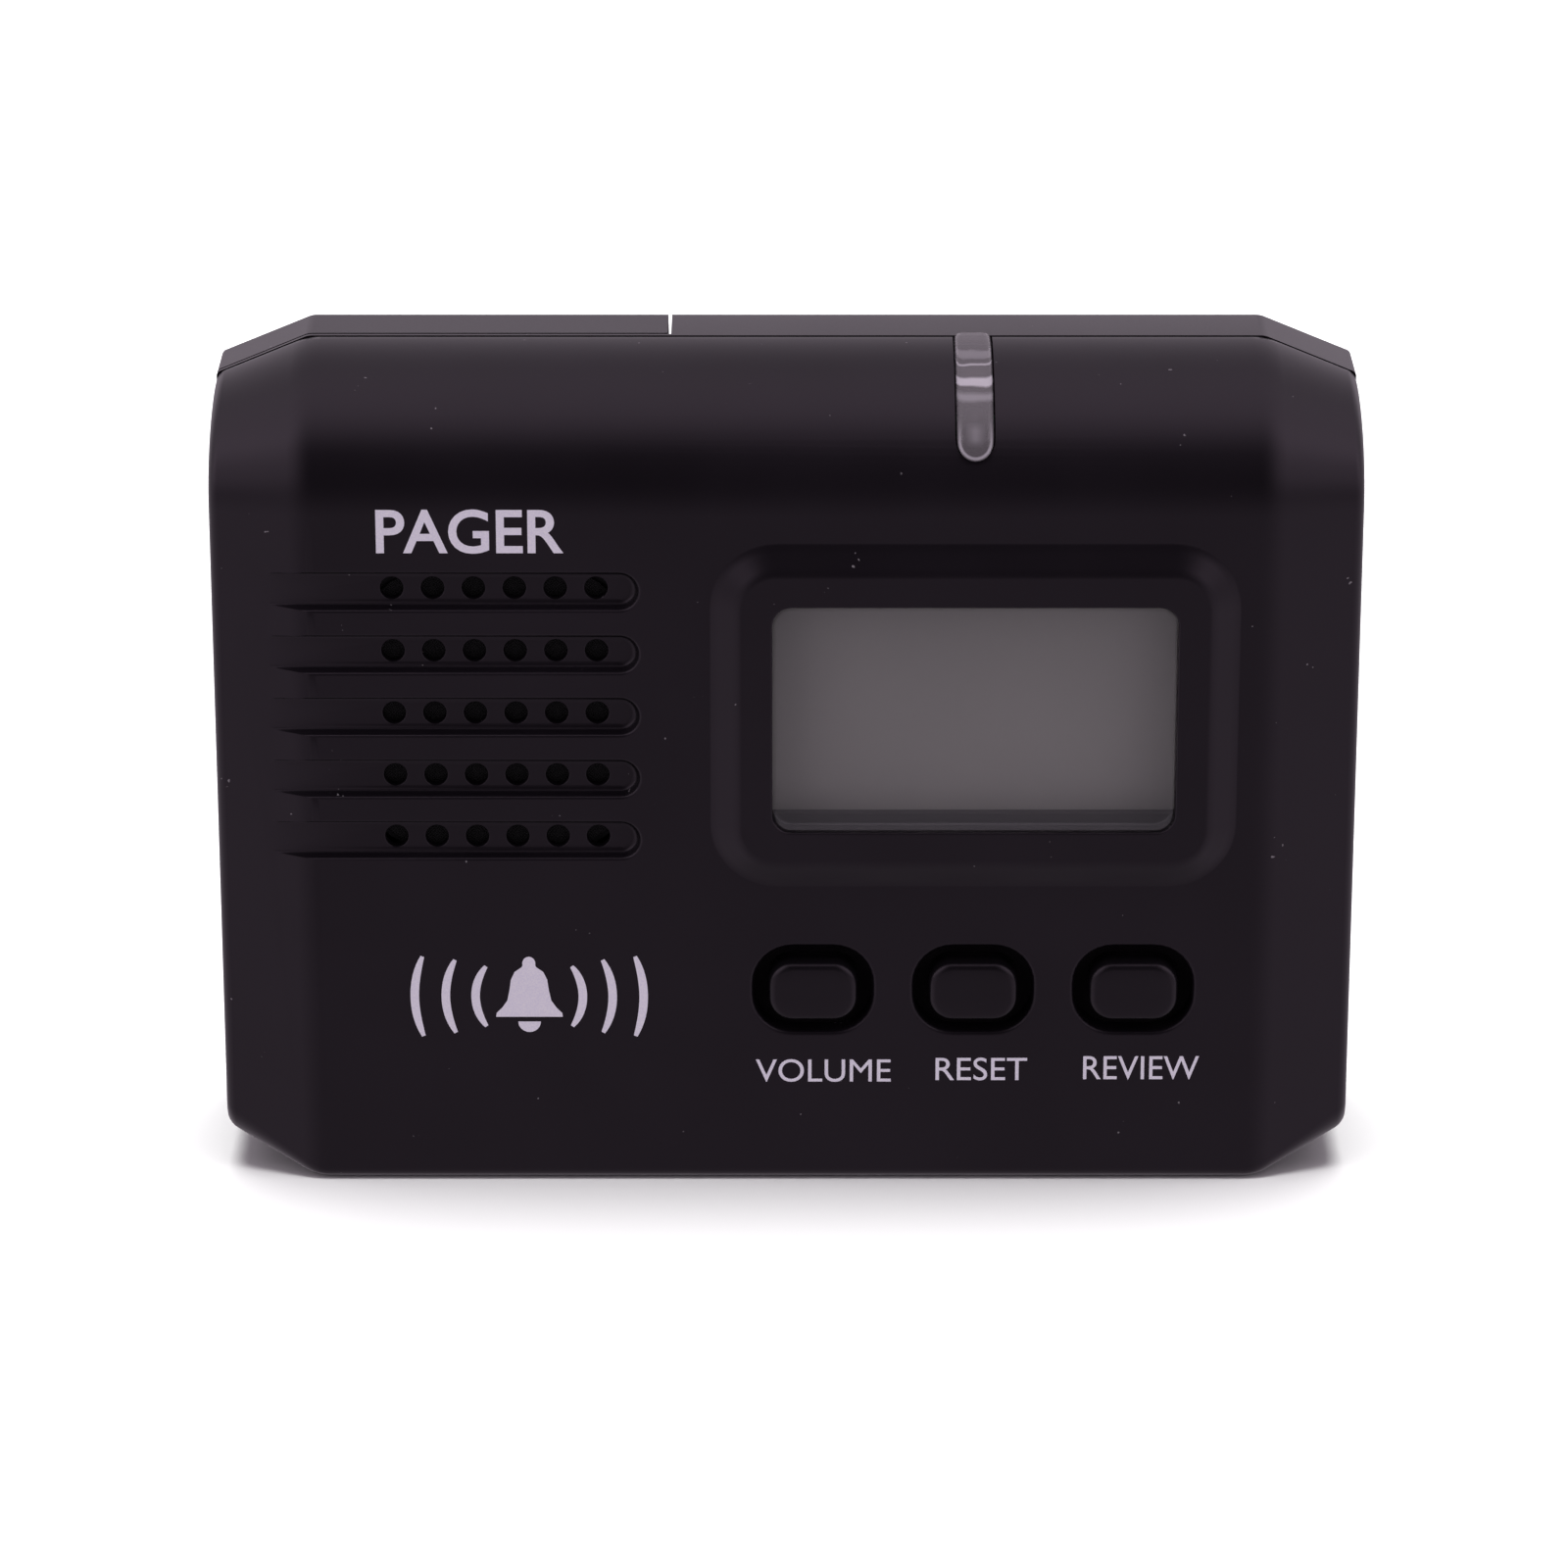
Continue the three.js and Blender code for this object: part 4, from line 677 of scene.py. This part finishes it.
def pipe_outline(grow, y):
    """The strip seen from the front: straight sides and a round lower end."""
    half, above = PIPE_HALF + grow, CASE_HEIGHT + 3
    ring = [Vector((PIPE_X + half, y, above)), Vector((PIPE_X - half, y, above))]
    for step in range(17):
        turn = math.pi + step / 16 * math.pi
        ring.append(Vector((
            PIPE_X + half * math.cos(turn), y, PIPE_END_Z + PIPE_HALF + half * math.sin(turn)
        )))
    return ring


def pipe_strip():
    """The crown's curve as a bar across the slot, trimmed to the strip's outline."""
    turns = [step / PIPE_STEPS * math.pi / 2 for step in range(PIPE_STEPS + 1)]
    inner = [crown_point(turn, PIPE_THICKNESS) for turn in reversed(turns)]
    edge = [(1, 0.5), (0.93, 0.24), (0.8, 0.07), (0.6, 0)]  # share of the width, how far down
    rings = []
    for across, sink in [(-share, sink) for share, sink in edge] + edge[::-1]:
        x = PIPE_X + across * PIPE_HALF
        top = [crown_point(turn, sink - PIPE_PROUD) for turn in turns]
        rings.append([Vector((x, y, z)) for y, z in top + inner])
    strip = loft("light_strip", rings)
    trim = loft("trim", [pipe_outline(0, FRONT_Y - 3), pipe_outline(0, -SHELL_GAP / 2)])
    combine(strip, trim, "INTERSECT")
    apply_modifier(strip, "BEVEL", width=0.3, segments=3, limit_method="ANGLE", angle_limit=0.9)
    return strip


slot_rings = [pipe_outline(PIPE_CLEARANCE, y) for y in (FRONT_Y - 3, 1)]
combine(shell, loft("slot_tool", slot_rings), "DIFFERENCE")
strip = pipe_strip()
LEG_HALF, LEG_FRONT, LEG_BACK, LEG_TOP = PIPE_HALF - 0.1, -12.2, -9.9, 64.6
strip_leg = slab(
    "leg", (PIPE_X - LEG_HALF, LEG_FRONT, pipe_low.z), (PIPE_X + LEG_HALF, LEG_BACK, LEG_TOP),
)
combine(strip, strip_leg, "UNION")
print("strip:", len(strip.data.polygons), "faces")

# %% [markdown]
# ### Clear plastics
# The window and the light pipe are clear mouldings. Real refraction is slow and noisy through a
# part this thin, so they let light through by Alpha instead. In the pipe, the light that the bend
# over the crown would gather in a few level bands, and the bright rim of its round end, are painted
# highlights drawn as masks: `above` makes a soft step, and a step up times a step down makes a band.

# %% Clear plastics
def clear_plastic(name, color, haze, roughness):
    """Clear moulding: haze is how much of what lies behind it is hidden."""
    return Finish(name, color, roughness, constants={"Alpha": haze, "IOR": 1.49})


pipe_finish = clear_plastic("clear_pipe", (0.16, 0.145, 0.165), 0.6, 0.16)
pipe_z = pipe_finish.place("Z") * (1 / MM)
pipe_side = pipe_finish.place("X") * (1 / MM) - PIPE_X
wobble = pipe_finish.noise(1.6, 2.0, stretch=(1.5, 1.0, 1.0), seed=5.0)
level = pipe_z + 0.22 * (wobble - 0.5)


def pipe_band(middle, half, soft):
    """1 within a level band of the strip, 0 outside it."""
    return level.above(middle - half - soft, soft) * (1 - level.above(middle + half, soft))


# Painted bands of light where the crown would bend it: weight, height, half width and softness.
painted_bands = pipe_band(68.45, 0.16, 0.12)
FAINT_BANDS = ((0.7, 69.32, 0.03, 0.05), (0.3, 69.75, 0.12, 0.1), (0.45, 67.6, 0.1, 0.25))
for weight, height, half, blur in FAINT_BANDS:
    painted_bands = painted_bands + weight * pipe_band(height, half, blur)
# How far a point is from the strip's middle line, which ends at the centre of the round end.
drop = pipe_z.math("MINIMUM", pipe_z - (PIPE_END_Z + PIPE_HALF), 0.0)
from_core = pipe_z.math("SQRT", pipe_side * pipe_side + drop * drop)
# The bright rim of the round end is a painted highlight, fading upwards.
rim_start, rim_stop, RIM_FADE_Z = PIPE_HALF - 0.38, PIPE_HALF - 0.16, 63.9
painted_rim_light = from_core.above(rim_start, 0.12) * (1 - from_core.above(rim_stop, 0.1))
painted_rim_light = painted_rim_light * (1 - pipe_z.above(RIM_FADE_Z, 2.4)) * 0.8
PAINTED_SPOT_Z = 65.2  # height of a faint pool of light from the lamp behind the strip, painted into the colour
painted_spot = (1 - from_core.above(0.1, 0.75)) * pipe_band(PAINTED_SPOT_Z, 0.3, 0.6) * 0.3
# The painted highlights together lighten the strip's grey towards the glint colour and make it less
# clear.
painted_glints = pipe_z.math("MINIMUM", painted_bands + painted_rim_light + painted_spot, 1.0)
PIPE_GREY, PAINTED_GLINT = (0.185, 0.176, 0.185), (0.54, 0.53, 0.56)
pipe_finish.set("Base Color", pipe_finish.mix(painted_glints, PIPE_GREY, PAINTED_GLINT))
pipe_finish.set("Alpha", 0.66 + 0.3 * painted_glints)
pipe_finish.bump(wobble + 0.4 * painted_glints, 0.3, 0.03)
settle(strip, "case", "light_pipe", pipe_finish.material, "light_pipe")
settle(shell, "case", "case", case_plastic, "front_shell")

# %% [markdown]
# ## Keys
# Each key is a small pillow: an upright wall, a rounded shoulder and a face that is very slightly
# domed. A flange behind the wall keeps it in the shell. A bevelled cube would have a flat face
# with a flat glare on it, so the pillow is stacked from rounded rectangles that shrink as they
# come forward. The three are alike, so one loop makes them, each riding on its own button.

# %% Keys
KEY_PROUD, FLANGE_REACH = 0.8, 2.3
for key in KEYS:
    x, z = key_place(key)
    face = FRONT_Y - KEY_PROUD
    back_y = case_box(key + "_key")[1].y
    pillow = [
        (0.02, back_y), (0.02, face + 0.62), (-0.04, face + 0.36), (-0.17, face + 0.17),
        (-0.36, face + 0.055), (-0.6, face + 0.01), (-1.2, face - 0.03), (-2.0, face - 0.045),
    ]
    cap = stacked(key + "_cap", KEY_WIDTH, KEY_HEIGHT, KEY_RADIUS, x, z, pillow, steps=10)
    flange_profile = [(FLANGE_REACH, back_y), (FLANGE_REACH, back_y - 0.5)]
    flange = stacked("flange", KEY_WIDTH, KEY_HEIGHT, KEY_RADIUS, x, z, flange_profile)
    combine(cap, flange, "UNION")
    settle(cap, key + "_button", "key", key_plastic, key + "_key")
    print(key, "key:", len(cap.data.polygons), "faces")

# %% [markdown]
# ## Display window
# A clear window stands in the raised frame, with the grey liquid-crystal glass behind it. The
# window is a plate with a flange behind, and its front edge is eased so that it catches a line
# of light. As with the keys, stacked rectangles give that edge without a bevel modifier. Faint
# smears in the roughness keep it from looking like a hole.

# %% Window
LENS_GAP = 0.15
lens = stacked(
    "window", WINDOW_WIDTH - 2 * LENS_GAP, WINDOW_HEIGHT - 2 * LENS_GAP,
    WINDOW_RADIUS - LENS_GAP, WINDOW_X, WINDOW_Z,
    [(0, lens_high.y), (0, lens_low.y + 0.25), (-0.07, lens_low.y + 0.08), (-0.25, lens_low.y)],
)
rim = stacked(
    "rim", WINDOW_WIDTH, WINDOW_HEIGHT, WINDOW_RADIUS, WINDOW_X, WINDOW_Z,
    [(LENS_FLANGE, lens_high.y), (LENS_FLANGE, lens_high.y - 0.9)],
)
combine(lens, rim, "UNION")
lens_finish = clear_plastic("clear_window", (0.55, 0.55, 0.57), 0.1, 0.06)
smear = lens_finish.noise(6, 2.0, stretch=(1.0, 1.0, 2.0))
lens_finish.set("Roughness", 0.04 + 0.06 * smear)
settle(lens, "case", "lens", lens_finish.material, "display_lens")

# %% [markdown]
# ## Rear shell, battery door and clip
# The back is plain: two mouldings with a battery door let into one of them, and a sprung clip.
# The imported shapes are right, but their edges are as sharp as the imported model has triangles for.
# Modelling them again would risk a gap at the door. So each is copied, its triangles are merged
# into faces, and the outside edges are eased by trimming the copy with a rounded case. The clip
# has no such outline, and gets a bevel on every sharp edge instead.

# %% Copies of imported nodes
def packed_copy(node):
    """A node's mesh as clean faces, in millimetres from the parting plane."""
    source = frame["nodes"][node]
    piece = bpy.data.objects.new(node + "_finished", source.data.copy())
    bpy.context.scene.collection.objects.link(piece)
    piece.data.transform(Matrix.Translation((0, -PARTING, 0)) @ Matrix.Scale(1 / MM, 4))
    take(piece)
    bpy.ops.object.mode_set(mode="EDIT")
    bpy.ops.mesh.select_all(action="SELECT")
    bpy.ops.mesh.remove_doubles(threshold=0.002)
    bpy.ops.mesh.dissolve_limited(angle_limit=math.radians(0.4))
    bpy.ops.object.mode_set(mode="OBJECT")
    return piece


# %% Rear shell and door
def rounded_rear(extra_low, extra_high):
    """The rear half of a rounded case, with a block of room for what stands out from it."""
    outline = keep_side(case_body("outline", 0, *REAR_ROUND), -8, False, edge=0)
    return combine(outline, slab("allowance", extra_low, extra_high), "UNION")


clip_low, clip_high = case_box("belt_clip")
LUG_ROOM = (clip_low.x - 1, 6, 45), (clip_high.x + 1, 16, 60)  # the clip's two lugs
RIB_ROOM = (-38, 7.5, 12), (-18, 10, 30)  # the ribs for a thumb on the door
rear = packed_copy("rear_shell")
combine(rear, rounded_rear(*LUG_ROOM), "INTERSECT")
settle(rear, "case", "case", case_plastic, "rear_shell")
door = packed_copy("battery_door")
combine(door, rounded_rear(*RIB_ROOM), "INTERSECT")
settle(door, "door", "case", case_plastic, "battery_door")
clip = apply_modifier(
    packed_copy("belt_clip"), "BEVEL", width=0.3, segments=3, limit_method="ANGLE",
    angle_limit=math.radians(40), miter_outer="MITER_ARC",
)
settle(clip, "clip", "case", case_plastic, "belt_clip")
print("rear:", len(rear.data.polygons), "door:", len(door.data.polygons))

# %% [markdown]
# ## Print
# The words are printed in pale ink. They could be a mask in the plastic's finish, but letters
# made of noise and sums are never crisp. So each word starts as text, becomes a mesh, is fitted
# to its rectangle, and lies on the front face as a skin a fiftieth of a millimetre thick.

# %% Printed words
ink_finish = Finish("pale_ink", (0.8, 0.74, 0.9), 0.5)
ink_grain = ink_finish.noise(0.12, 2.0)
THIN_INK, FULL_INK = (0.86, 0.86, 0.96), (0.95, 0.95, 1.0)
ink_finish.set("Base Color", ink_finish.mix(ink_grain.above(0.35, 0.3), THIN_INK, FULL_INK))
ink_finish.bump(ink_grain, 0.3, 0.01)
INK, SUNK = 0.02, 0.002  # how thick the print is, and how far it is let into the face


def printed(name, words, x0, x1, z0, z1, weight):
    """Words that fill the given rectangle of the front face."""
    text = start(name, bpy.ops.object.text_add)
    text.data.body = words
    text.data.size = 10
    text.data.offset = weight
    text.data.resolution_u = 6
    text.data.extrude = INK / 2
    bpy.ops.object.convert(target="MESH")
    text = bpy.context.object
    across = [v.co.x for v in text.data.vertices]
    up = [v.co.y for v in text.data.vertices]
    stretch_x = (x1 - x0) / (max(across) - min(across))
    stretch_z = (z1 - z0) / (max(up) - min(up))
    for vertex in text.data.vertices:
        sideways = x0 + (vertex.co.x - min(across)) * stretch_x
        upwards = z0 + (vertex.co.y - min(up)) * stretch_z
        vertex.co = (sideways, FRONT_Y - INK / 2 + SUNK - vertex.co.z, upwards)
    return settle(text, "case", "ink", ink_finish.material)


# %% The words: left, right, foot and top of each, and how bold it is
WORDS = (
    ("word_pager", "PAGER", -33.6, -18.26, 55.74, 59.55, 0.15),
    ("word_volume", "VOLUME", -2.57, 8.79, 8.87, 10.93, 0.0),
    ("word_reset", "RESET", 12.56, 20.27, 9.0, 11.07, 0.0),
    ("word_review", "REVIEW", 24.99, 34.73, 9.09, 11.2, 0.0),
)
for word in WORDS:
    printed(*word)
print("words:", len(WORDS))

# %% [markdown]
# ### A bell
# A plain bell between rings of sound is printed at the lower left. Its outline is half drawn by
# points and half by its own reflection, and each ring is a bowed bar, thinner at its ends. Each
# shape is a loft of two outlines as thick as the ink, and all are joined into one piece.

# %% A bell with rings of sound
BELL_X, BELL_Z = -21.57, 16.64
RING_HALF_WIDTH, RINGS = 0.36, ((4.5, 37), (7.0, 28), (9.6, 22))  # each radius and its half angle


def patch(name, outline):
    """A filled shape of ink from its outline, in millimetres round the middle of the bell."""
    ring = [Vector((BELL_X + x, FRONT_Y + SUNK, BELL_Z + z)) for x, z in outline]
    lid = [point - Vector((0, INK, 0)) for point in ring]
    return loft(name, [ring, lid])


def arc(radius, half_width, reach, side):
    """A bowed bar: part of a ring round the bell, on its left or right side."""
    outline = []
    for sign, order in ((1, 1), (-1, -1)):
        for step in range(17):
            turn = math.radians(reach * (step / 8 - 1) * order)
            bow = radius + sign * half_width * (1 - 0.55 * abs(step / 8 - 1) ** 3)
            outline.append((side * bow * math.cos(turn), bow * math.sin(turn)))
    return outline


def round_part(wide, high, middle, first, last):
    """Part of an oval above or below the bell's middle, from one angle to another."""
    turns = [math.radians(angle) for angle in range(first, last, 15)]
    return [(wide * math.cos(turn), middle + high * math.sin(turn)) for turn in turns]


side_of_bell = [
    (0.62, 2.62), (1.2, 2.2), (1.52, 1.5), (1.66, 0.5),
    (1.85, -0.4), (2.3, -1.05), (2.75, -1.5), (2.8, -1.85),
]
knob = round_part(0.55, 0.62, 2.95, -15, 196)
bell = side_of_bell[::-1] + knob + [(-x, z) for x, z in side_of_bell]
clapper = round_part(0.95, 0.95, -2.28, 180, 361)
marks = [patch("mark", bell), patch("mark", clapper)]
for radius, reach in RINGS:
    for side in (1, -1):
        marks.append(patch("mark", arc(radius, RING_HALF_WIDTH, reach, side)))
emblem = joined(marks)
emblem.name = emblem.data.name = "bell_mark"
settle(emblem, "case", "ink", ink_finish.material)

# %% [markdown]
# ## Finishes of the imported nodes
# What is inside the case shows through the window, round the keys and when the battery door is
# open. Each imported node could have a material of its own, but real parts share theirs: a finish
# is made once for each kind of material, and handed out by the slot that the record gives.
#
# Metals here differ in colour, polish and the direction of their fine lines, and rubber, foam and
# pressed paper differ in how coarse their felt is. So two functions with a few numbers make them.

# %% Metals, rubbers and papers
def metal(name, color, roughness, stretch=(1, 1, 1), size=0.4):
    """Metal with fine lines: drawn or brushed along the stretched axis."""
    finish = Finish(name, color, roughness, metallic=1.0)
    lines = finish.noise(size, 3.0, stretch=stretch)
    finish.set("Base Color", finish.mix(lines, tuple(c * 0.86 for c in color), color))
    finish.set("Roughness", roughness - 0.06 + 0.14 * lines)
    finish.bump(lines, 0.25, 0.01)
    return finish.material


def soft(name, color, roughness, size, depth):
    """Rubber, foam or pressed paper: an even colour with a felt-like surface."""
    finish = Finish(name, color, roughness)
    fibre = finish.noise(size, 4.0)
    darker, lighter = (tuple(c * share for c in color) for share in (0.7, 1.25))
    finish.set("Base Color", finish.mix(fibre, darker, lighter))
    finish.set("Roughness", roughness - 0.08 + 0.14 * fibre)
    finish.bump(fibre, 0.5, depth)
    return finish.material


# %% [markdown]
# ### The loudspeaker's cover
# A dark woven mesh keeps dust out behind the holes. Modelled threads would be thousands of faces
# for something seen through holes under two millimetres wide. The product of two sine waves, one
# across and one up, gives the same little squares of light and shade.

# %% Woven cover of the loudspeaker
weave_finish = Finish("woven_cover", (0.004, 0.004, 0.0042), 0.9)
THREAD = 2 * math.pi / (0.28 * MM)
thread_x, thread_z = weave_finish.place("X") * THREAD, weave_finish.place("Z") * THREAD
weave = thread_x.math("SINE", thread_x) * thread_z.math("SINE", thread_z)
BETWEEN_THREADS, ON_THREADS = (0.002, 0.002, 0.002), (0.012, 0.012, 0.013)
weave_finish.set("Base Color", weave_finish.mix(weave, BETWEEN_THREADS, ON_THREADS))
weave_finish.bump(weave, 0.6, 0.05)

# %% [markdown]
# ### Display glass
# With no power the display is an even grey with a trace of green. A flat colour would look like
# painted card, so a very broad, faint veil shifts it, and a fine grain varies its polish.

# %% Display glass
display_finish = Finish("display_glass", (0.2, 0.2, 0.2), 0.32)
cell_grain = display_finish.noise(0.25, 2.0)
veil = display_finish.noise(22, 1.0, seed=2.0)
LCD_DARK, LCD_LIGHT = (0.250, 0.252, 0.232), (0.272, 0.274, 0.252)
display_finish.set("Base Color", display_finish.mix(veil.above(0.35, 0.3), LCD_DARK, LCD_LIGHT))
display_finish.set("Roughness", 0.3 + 0.08 * cell_grain)

# %% [markdown]
# ### Circuit board
# Green solder mask lies over copper tracks, which show as slightly raised, lighter lines. Tracks
# could be drawn as curves, but little of the board is ever seen. A Brick texture's joints are
# straight, broken lines at right angles, which is near enough at this size.

# %% Circuit board
board_finish = Finish("circuit_board", (0.02, 0.12, 0.05), 0.3)
copper_lines = board_finish.node(
    "ShaderNodeTexBrick", "Fac", Vector=board_finish.where, Scale=220.0, Mortar_Size=0.06,
)
patches = board_finish.noise(5, 2.0)
mask_green = board_finish.mix(patches, (0.014, 0.085, 0.035), (0.022, 0.13, 0.055))
board_finish.set("Base Color", board_finish.mix(copper_lines, mask_green, (0.04, 0.2, 0.08)))
board_finish.bump(copper_lines, 0.4, 0.03)

# %% [markdown]
# ### Striped rubber and the cells' sleeves
# The display stands on a strip of rubber with fine dark stripes that carry its signals: a sine
# wave cut off at its middle. Each cell wears printed film with a band near its button end. The
# band is a mask on height, and scuffs in the roughness show that the film has been handled.

# %% Striped rubber and the printed sleeves of the cells
zebra_finish = Finish("striped_rubber", (0.45, 0.12, 0.22), 0.6)
zebra_wave = zebra_finish.place("X") * (2 * math.pi / (0.36 * MM))
zebra = zebra_wave.math("SINE", zebra_wave).above(0.0, 0.3)
zebra_finish.set("Base Color", zebra_finish.mix(zebra, (0.5, 0.16, 0.27), (0.03, 0.03, 0.03)))


def sleeve(name, color, band_color, band_z):
    """Printed film with a band near the button end."""
    finish = Finish(name, color, 0.3)
    height = finish.place("Z") * (1 / MM)
    low, high = band_z
    band = height.above(low, 0.05) * (1 - height.above(high, 0.05))
    scuff = finish.noise(3, 3.0)
    finish.set("Base Color", finish.mix(band, color, band_color))
    finish.set("Roughness", 0.24 + 0.16 * scuff)
    return finish.material


# %% [markdown]
# ### Handing the finishes out
# One table says which finish belongs to which slot. A cell needs a band at its own height, so the
# three cells are in the table by name, and a name is looked for before a slot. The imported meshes
# themselves are left alone: only their material slots change.

# %% Hand the finishes out
led_finish = clear_plastic("clear_lamp", (0.75, 0.7, 0.6), 0.6, 0.1)
led_glow = led_finish.noise(0.5, 1.0)
led_finish.set("Roughness", 0.08 + 0.08 * led_glow)
NEUTRAL = {"Specular IOR Level": 0.4}
inner_plastic = moulded("inner_plastic", (0.012, 0.011, 0.012), 0.5, grain=0.2, sheen=NEUTRAL)
finishes = {
    "case": case_plastic,
    "key": key_plastic,
    "inner_plastic": inner_plastic,
    "lens": lens_finish.material,
    "light_pipe": pipe_finish.material,
    "display": display_finish.material,
    "zebra_rubber": zebra_finish.material,
    "led": led_finish.material,
    "mesh": weave_finish.material,
    "foam": soft("cell_foam", (0.01, 0.01, 0.011), 0.9, 0.3, 0.08),
    "cone": soft("pressed_paper", (0.016, 0.016, 0.017), 0.8, 0.6, 0.05),
    "board": board_finish.material,
    "chip": moulded("chip_epoxy", (0.006, 0.006, 0.0065), 0.45, grain=0.08, sheen=NEUTRAL),
    "capacitor": soft("sleeved_capacitor", (0.012, 0.02, 0.06), 0.35, 1.5, 0.01),
    "steel": metal("bright_steel", (0.55, 0.55, 0.56), 0.3, size=0.3),
    "tinned_metal": metal("tinned_steel", (0.62, 0.62, 0.63), 0.25, stretch=(3, 1, 1)),
    "spring_wire": metal("plated_wire", (0.66, 0.65, 0.62), 0.22, size=0.2),
    "copper": metal("enamelled_copper", (0.6, 0.24, 0.1), 0.28, size=0.2),
    "rubber": soft("motor_rubber", (0.012, 0.012, 0.012), 0.7, 0.4, 0.03),
    "red_wire": soft("red_insulation", (0.35, 0.012, 0.01), 0.45, 1.0, 0.01),
    "black_wire": soft("black_insulation", (0.008, 0.008, 0.008), 0.45, 1.0, 0.01),
}
FILM_GREEN, FILM_GOLD = (0.02, 0.09, 0.05), (0.55, 0.42, 0.16)
BAND_START, BAND_STOP = 2.5, 11  # from the button end
for number in (1, 2, 3):
    low, high = case_box(f"battery_cell_{number}")
    band_z = (high.z - BAND_STOP, high.z - BAND_START)
    if number == 2:  # the middle cell stands on its head
        band_z = (low.z + BAND_START, low.z + BAND_STOP)
    film = sleeve(f"cell_sleeve_{number}", FILM_GREEN, FILM_GOLD, band_z)
    finishes[f"battery_cell_{number}"] = film
slots = {part["node"]: part["material_slot"] for part in frame["record"]["subparts"]}
for node, piece in frame["nodes"].items():
    piece.data.materials.clear()
    piece.data.materials.append(finishes.get(node) or finishes[slots[node]])
print("finishes:", len(finishes), "for", len(frame["nodes"]), "nodes")

# %% [markdown]
# ## Studio
# The pager stands on a white floor in a soft tent of light: bright overhead and at the sides,
# white behind, and dim in front, which is what leaves the face dark under a bright crown. Dark
# glossy plastic shows its surroundings more than its lamps, so most of the work is in the tent.
#
# The floor is a plane under the foot. A real white floor would light the pager from below, and
# the tent already does that. So the floor is hidden from reflections and bounced light, and is
# seen by the camera alone.

# %% Floor
floor = start("floor", bpy.ops.mesh.primitive_plane_add, size=6, location=(0, 0, -0.0001))
NO_GLOSS = {"Specular IOR Level": 0.0}
floor_finish = Finish("studio_floor", (0.5, 0.508, 0.5), 0.9, constants=NO_GLOSS)
floor.data.materials.append(floor_finish.material)
floor.visible_glossy = False
floor.visible_diffuse = False
floor.visible_transmission = False

# %% [markdown]
# ### Top light
# A broad lamp a little behind the top lights the floor white and leaves a short soft shadow in
# front of the foot. An area lamp would fade across the floor, so it is a sun with a wide disc. It
# lights only the floor, by light linking: the pager is lit by the tent alone.

# %% Top light
top_data = bpy.data.lights.new("top_light", "SUN")
top_data.energy = 7.4
top_data.angle = math.radians(44)
TOP_LEAN = math.radians(-8)
top_light = bpy.data.objects.new("top_light", top_data)
top_light.rotation_euler = (TOP_LEAN, 0, 0)
bpy.context.scene.collection.objects.link(top_light)
lit = bpy.data.collections.new("lit_by_top_light")
lit.objects.link(floor)
top_light.light_linking.receiver_collection = lit

# %% [markdown]
# ### Tent of light
# The tent could be a sphere with a painted inside, but the world is one already. Its brightness
# is a function of direction: a ramp gives it from the front horizon over the top to the back
# one, and each side is a broad panel of its own. The camera itself sees plain white.

# %% Tent of light
world = bpy.data.worlds.new("studio")
bpy.context.scene.world = world
world.use_nodes = True
tent = Nodes(world.node_tree)
toward = tent.node("ShaderNodeTexCoord", "Generated")
across, along, upward = (
    tent.node("ShaderNodeSeparateXYZ", axis, Vector=toward) for axis in "XYZ"
)
turn = upward.math("ARCTAN2", upward, along * -1)  # 0 is the front horizon, pi / 2 overhead
aside = across.math("ABSOLUTE", across)
# Each stop is how high in degrees, from the front horizon over the top, and how bright.
LOWEST, HIGHEST = -90, 180
BANDS = (
    (LOWEST, 0.5), (-30, 0.5), (-12, 0.46), (2, 0.2), (15, 0.03), (54, 0.04), (76, 1.1),
    (90, 1.3), (112, 1.05), (128, 0.56), (145, 0.6), (158, 0.66), (HIGHEST, 0.56),
)
stops = [
    ((height - LOWEST) / (HIGHEST - LOWEST), (brightness, brightness, brightness, 1))
    for height, brightness in BANDS
]
along_ramp = (turn + math.pi / 2) * (1 / (1.5 * math.pi))
middle_light = tent.node("ShaderNodeValToRGB", "Color", {"stops": stops}, Fac=along_ramp)
overhead = turn.above(1.2, 0.4)
side_light = aside.above(0.3, 0.25) * (0.3 + 0.85 * turn.above(0.1, 0.4) - 1.0 * overhead)
tent_light = middle_light + side_light
SEEN_WHITE, TENT_TINT = 1.05, (1.0, 0.88, 1.0, 1)
seen = tent.node("ShaderNodeLightPath", "Is Camera Ray")
glow = tent_light + seen * (SEEN_WHITE - tent_light)
background = world.node_tree.nodes["Background"]
background.inputs["Color"].default_value = TENT_TINT
tent.give(background.inputs["Strength"], glow)
bpy.context.scene.view_settings.view_transform = "Standard"
print("tent:", len(world.node_tree.nodes), "nodes")
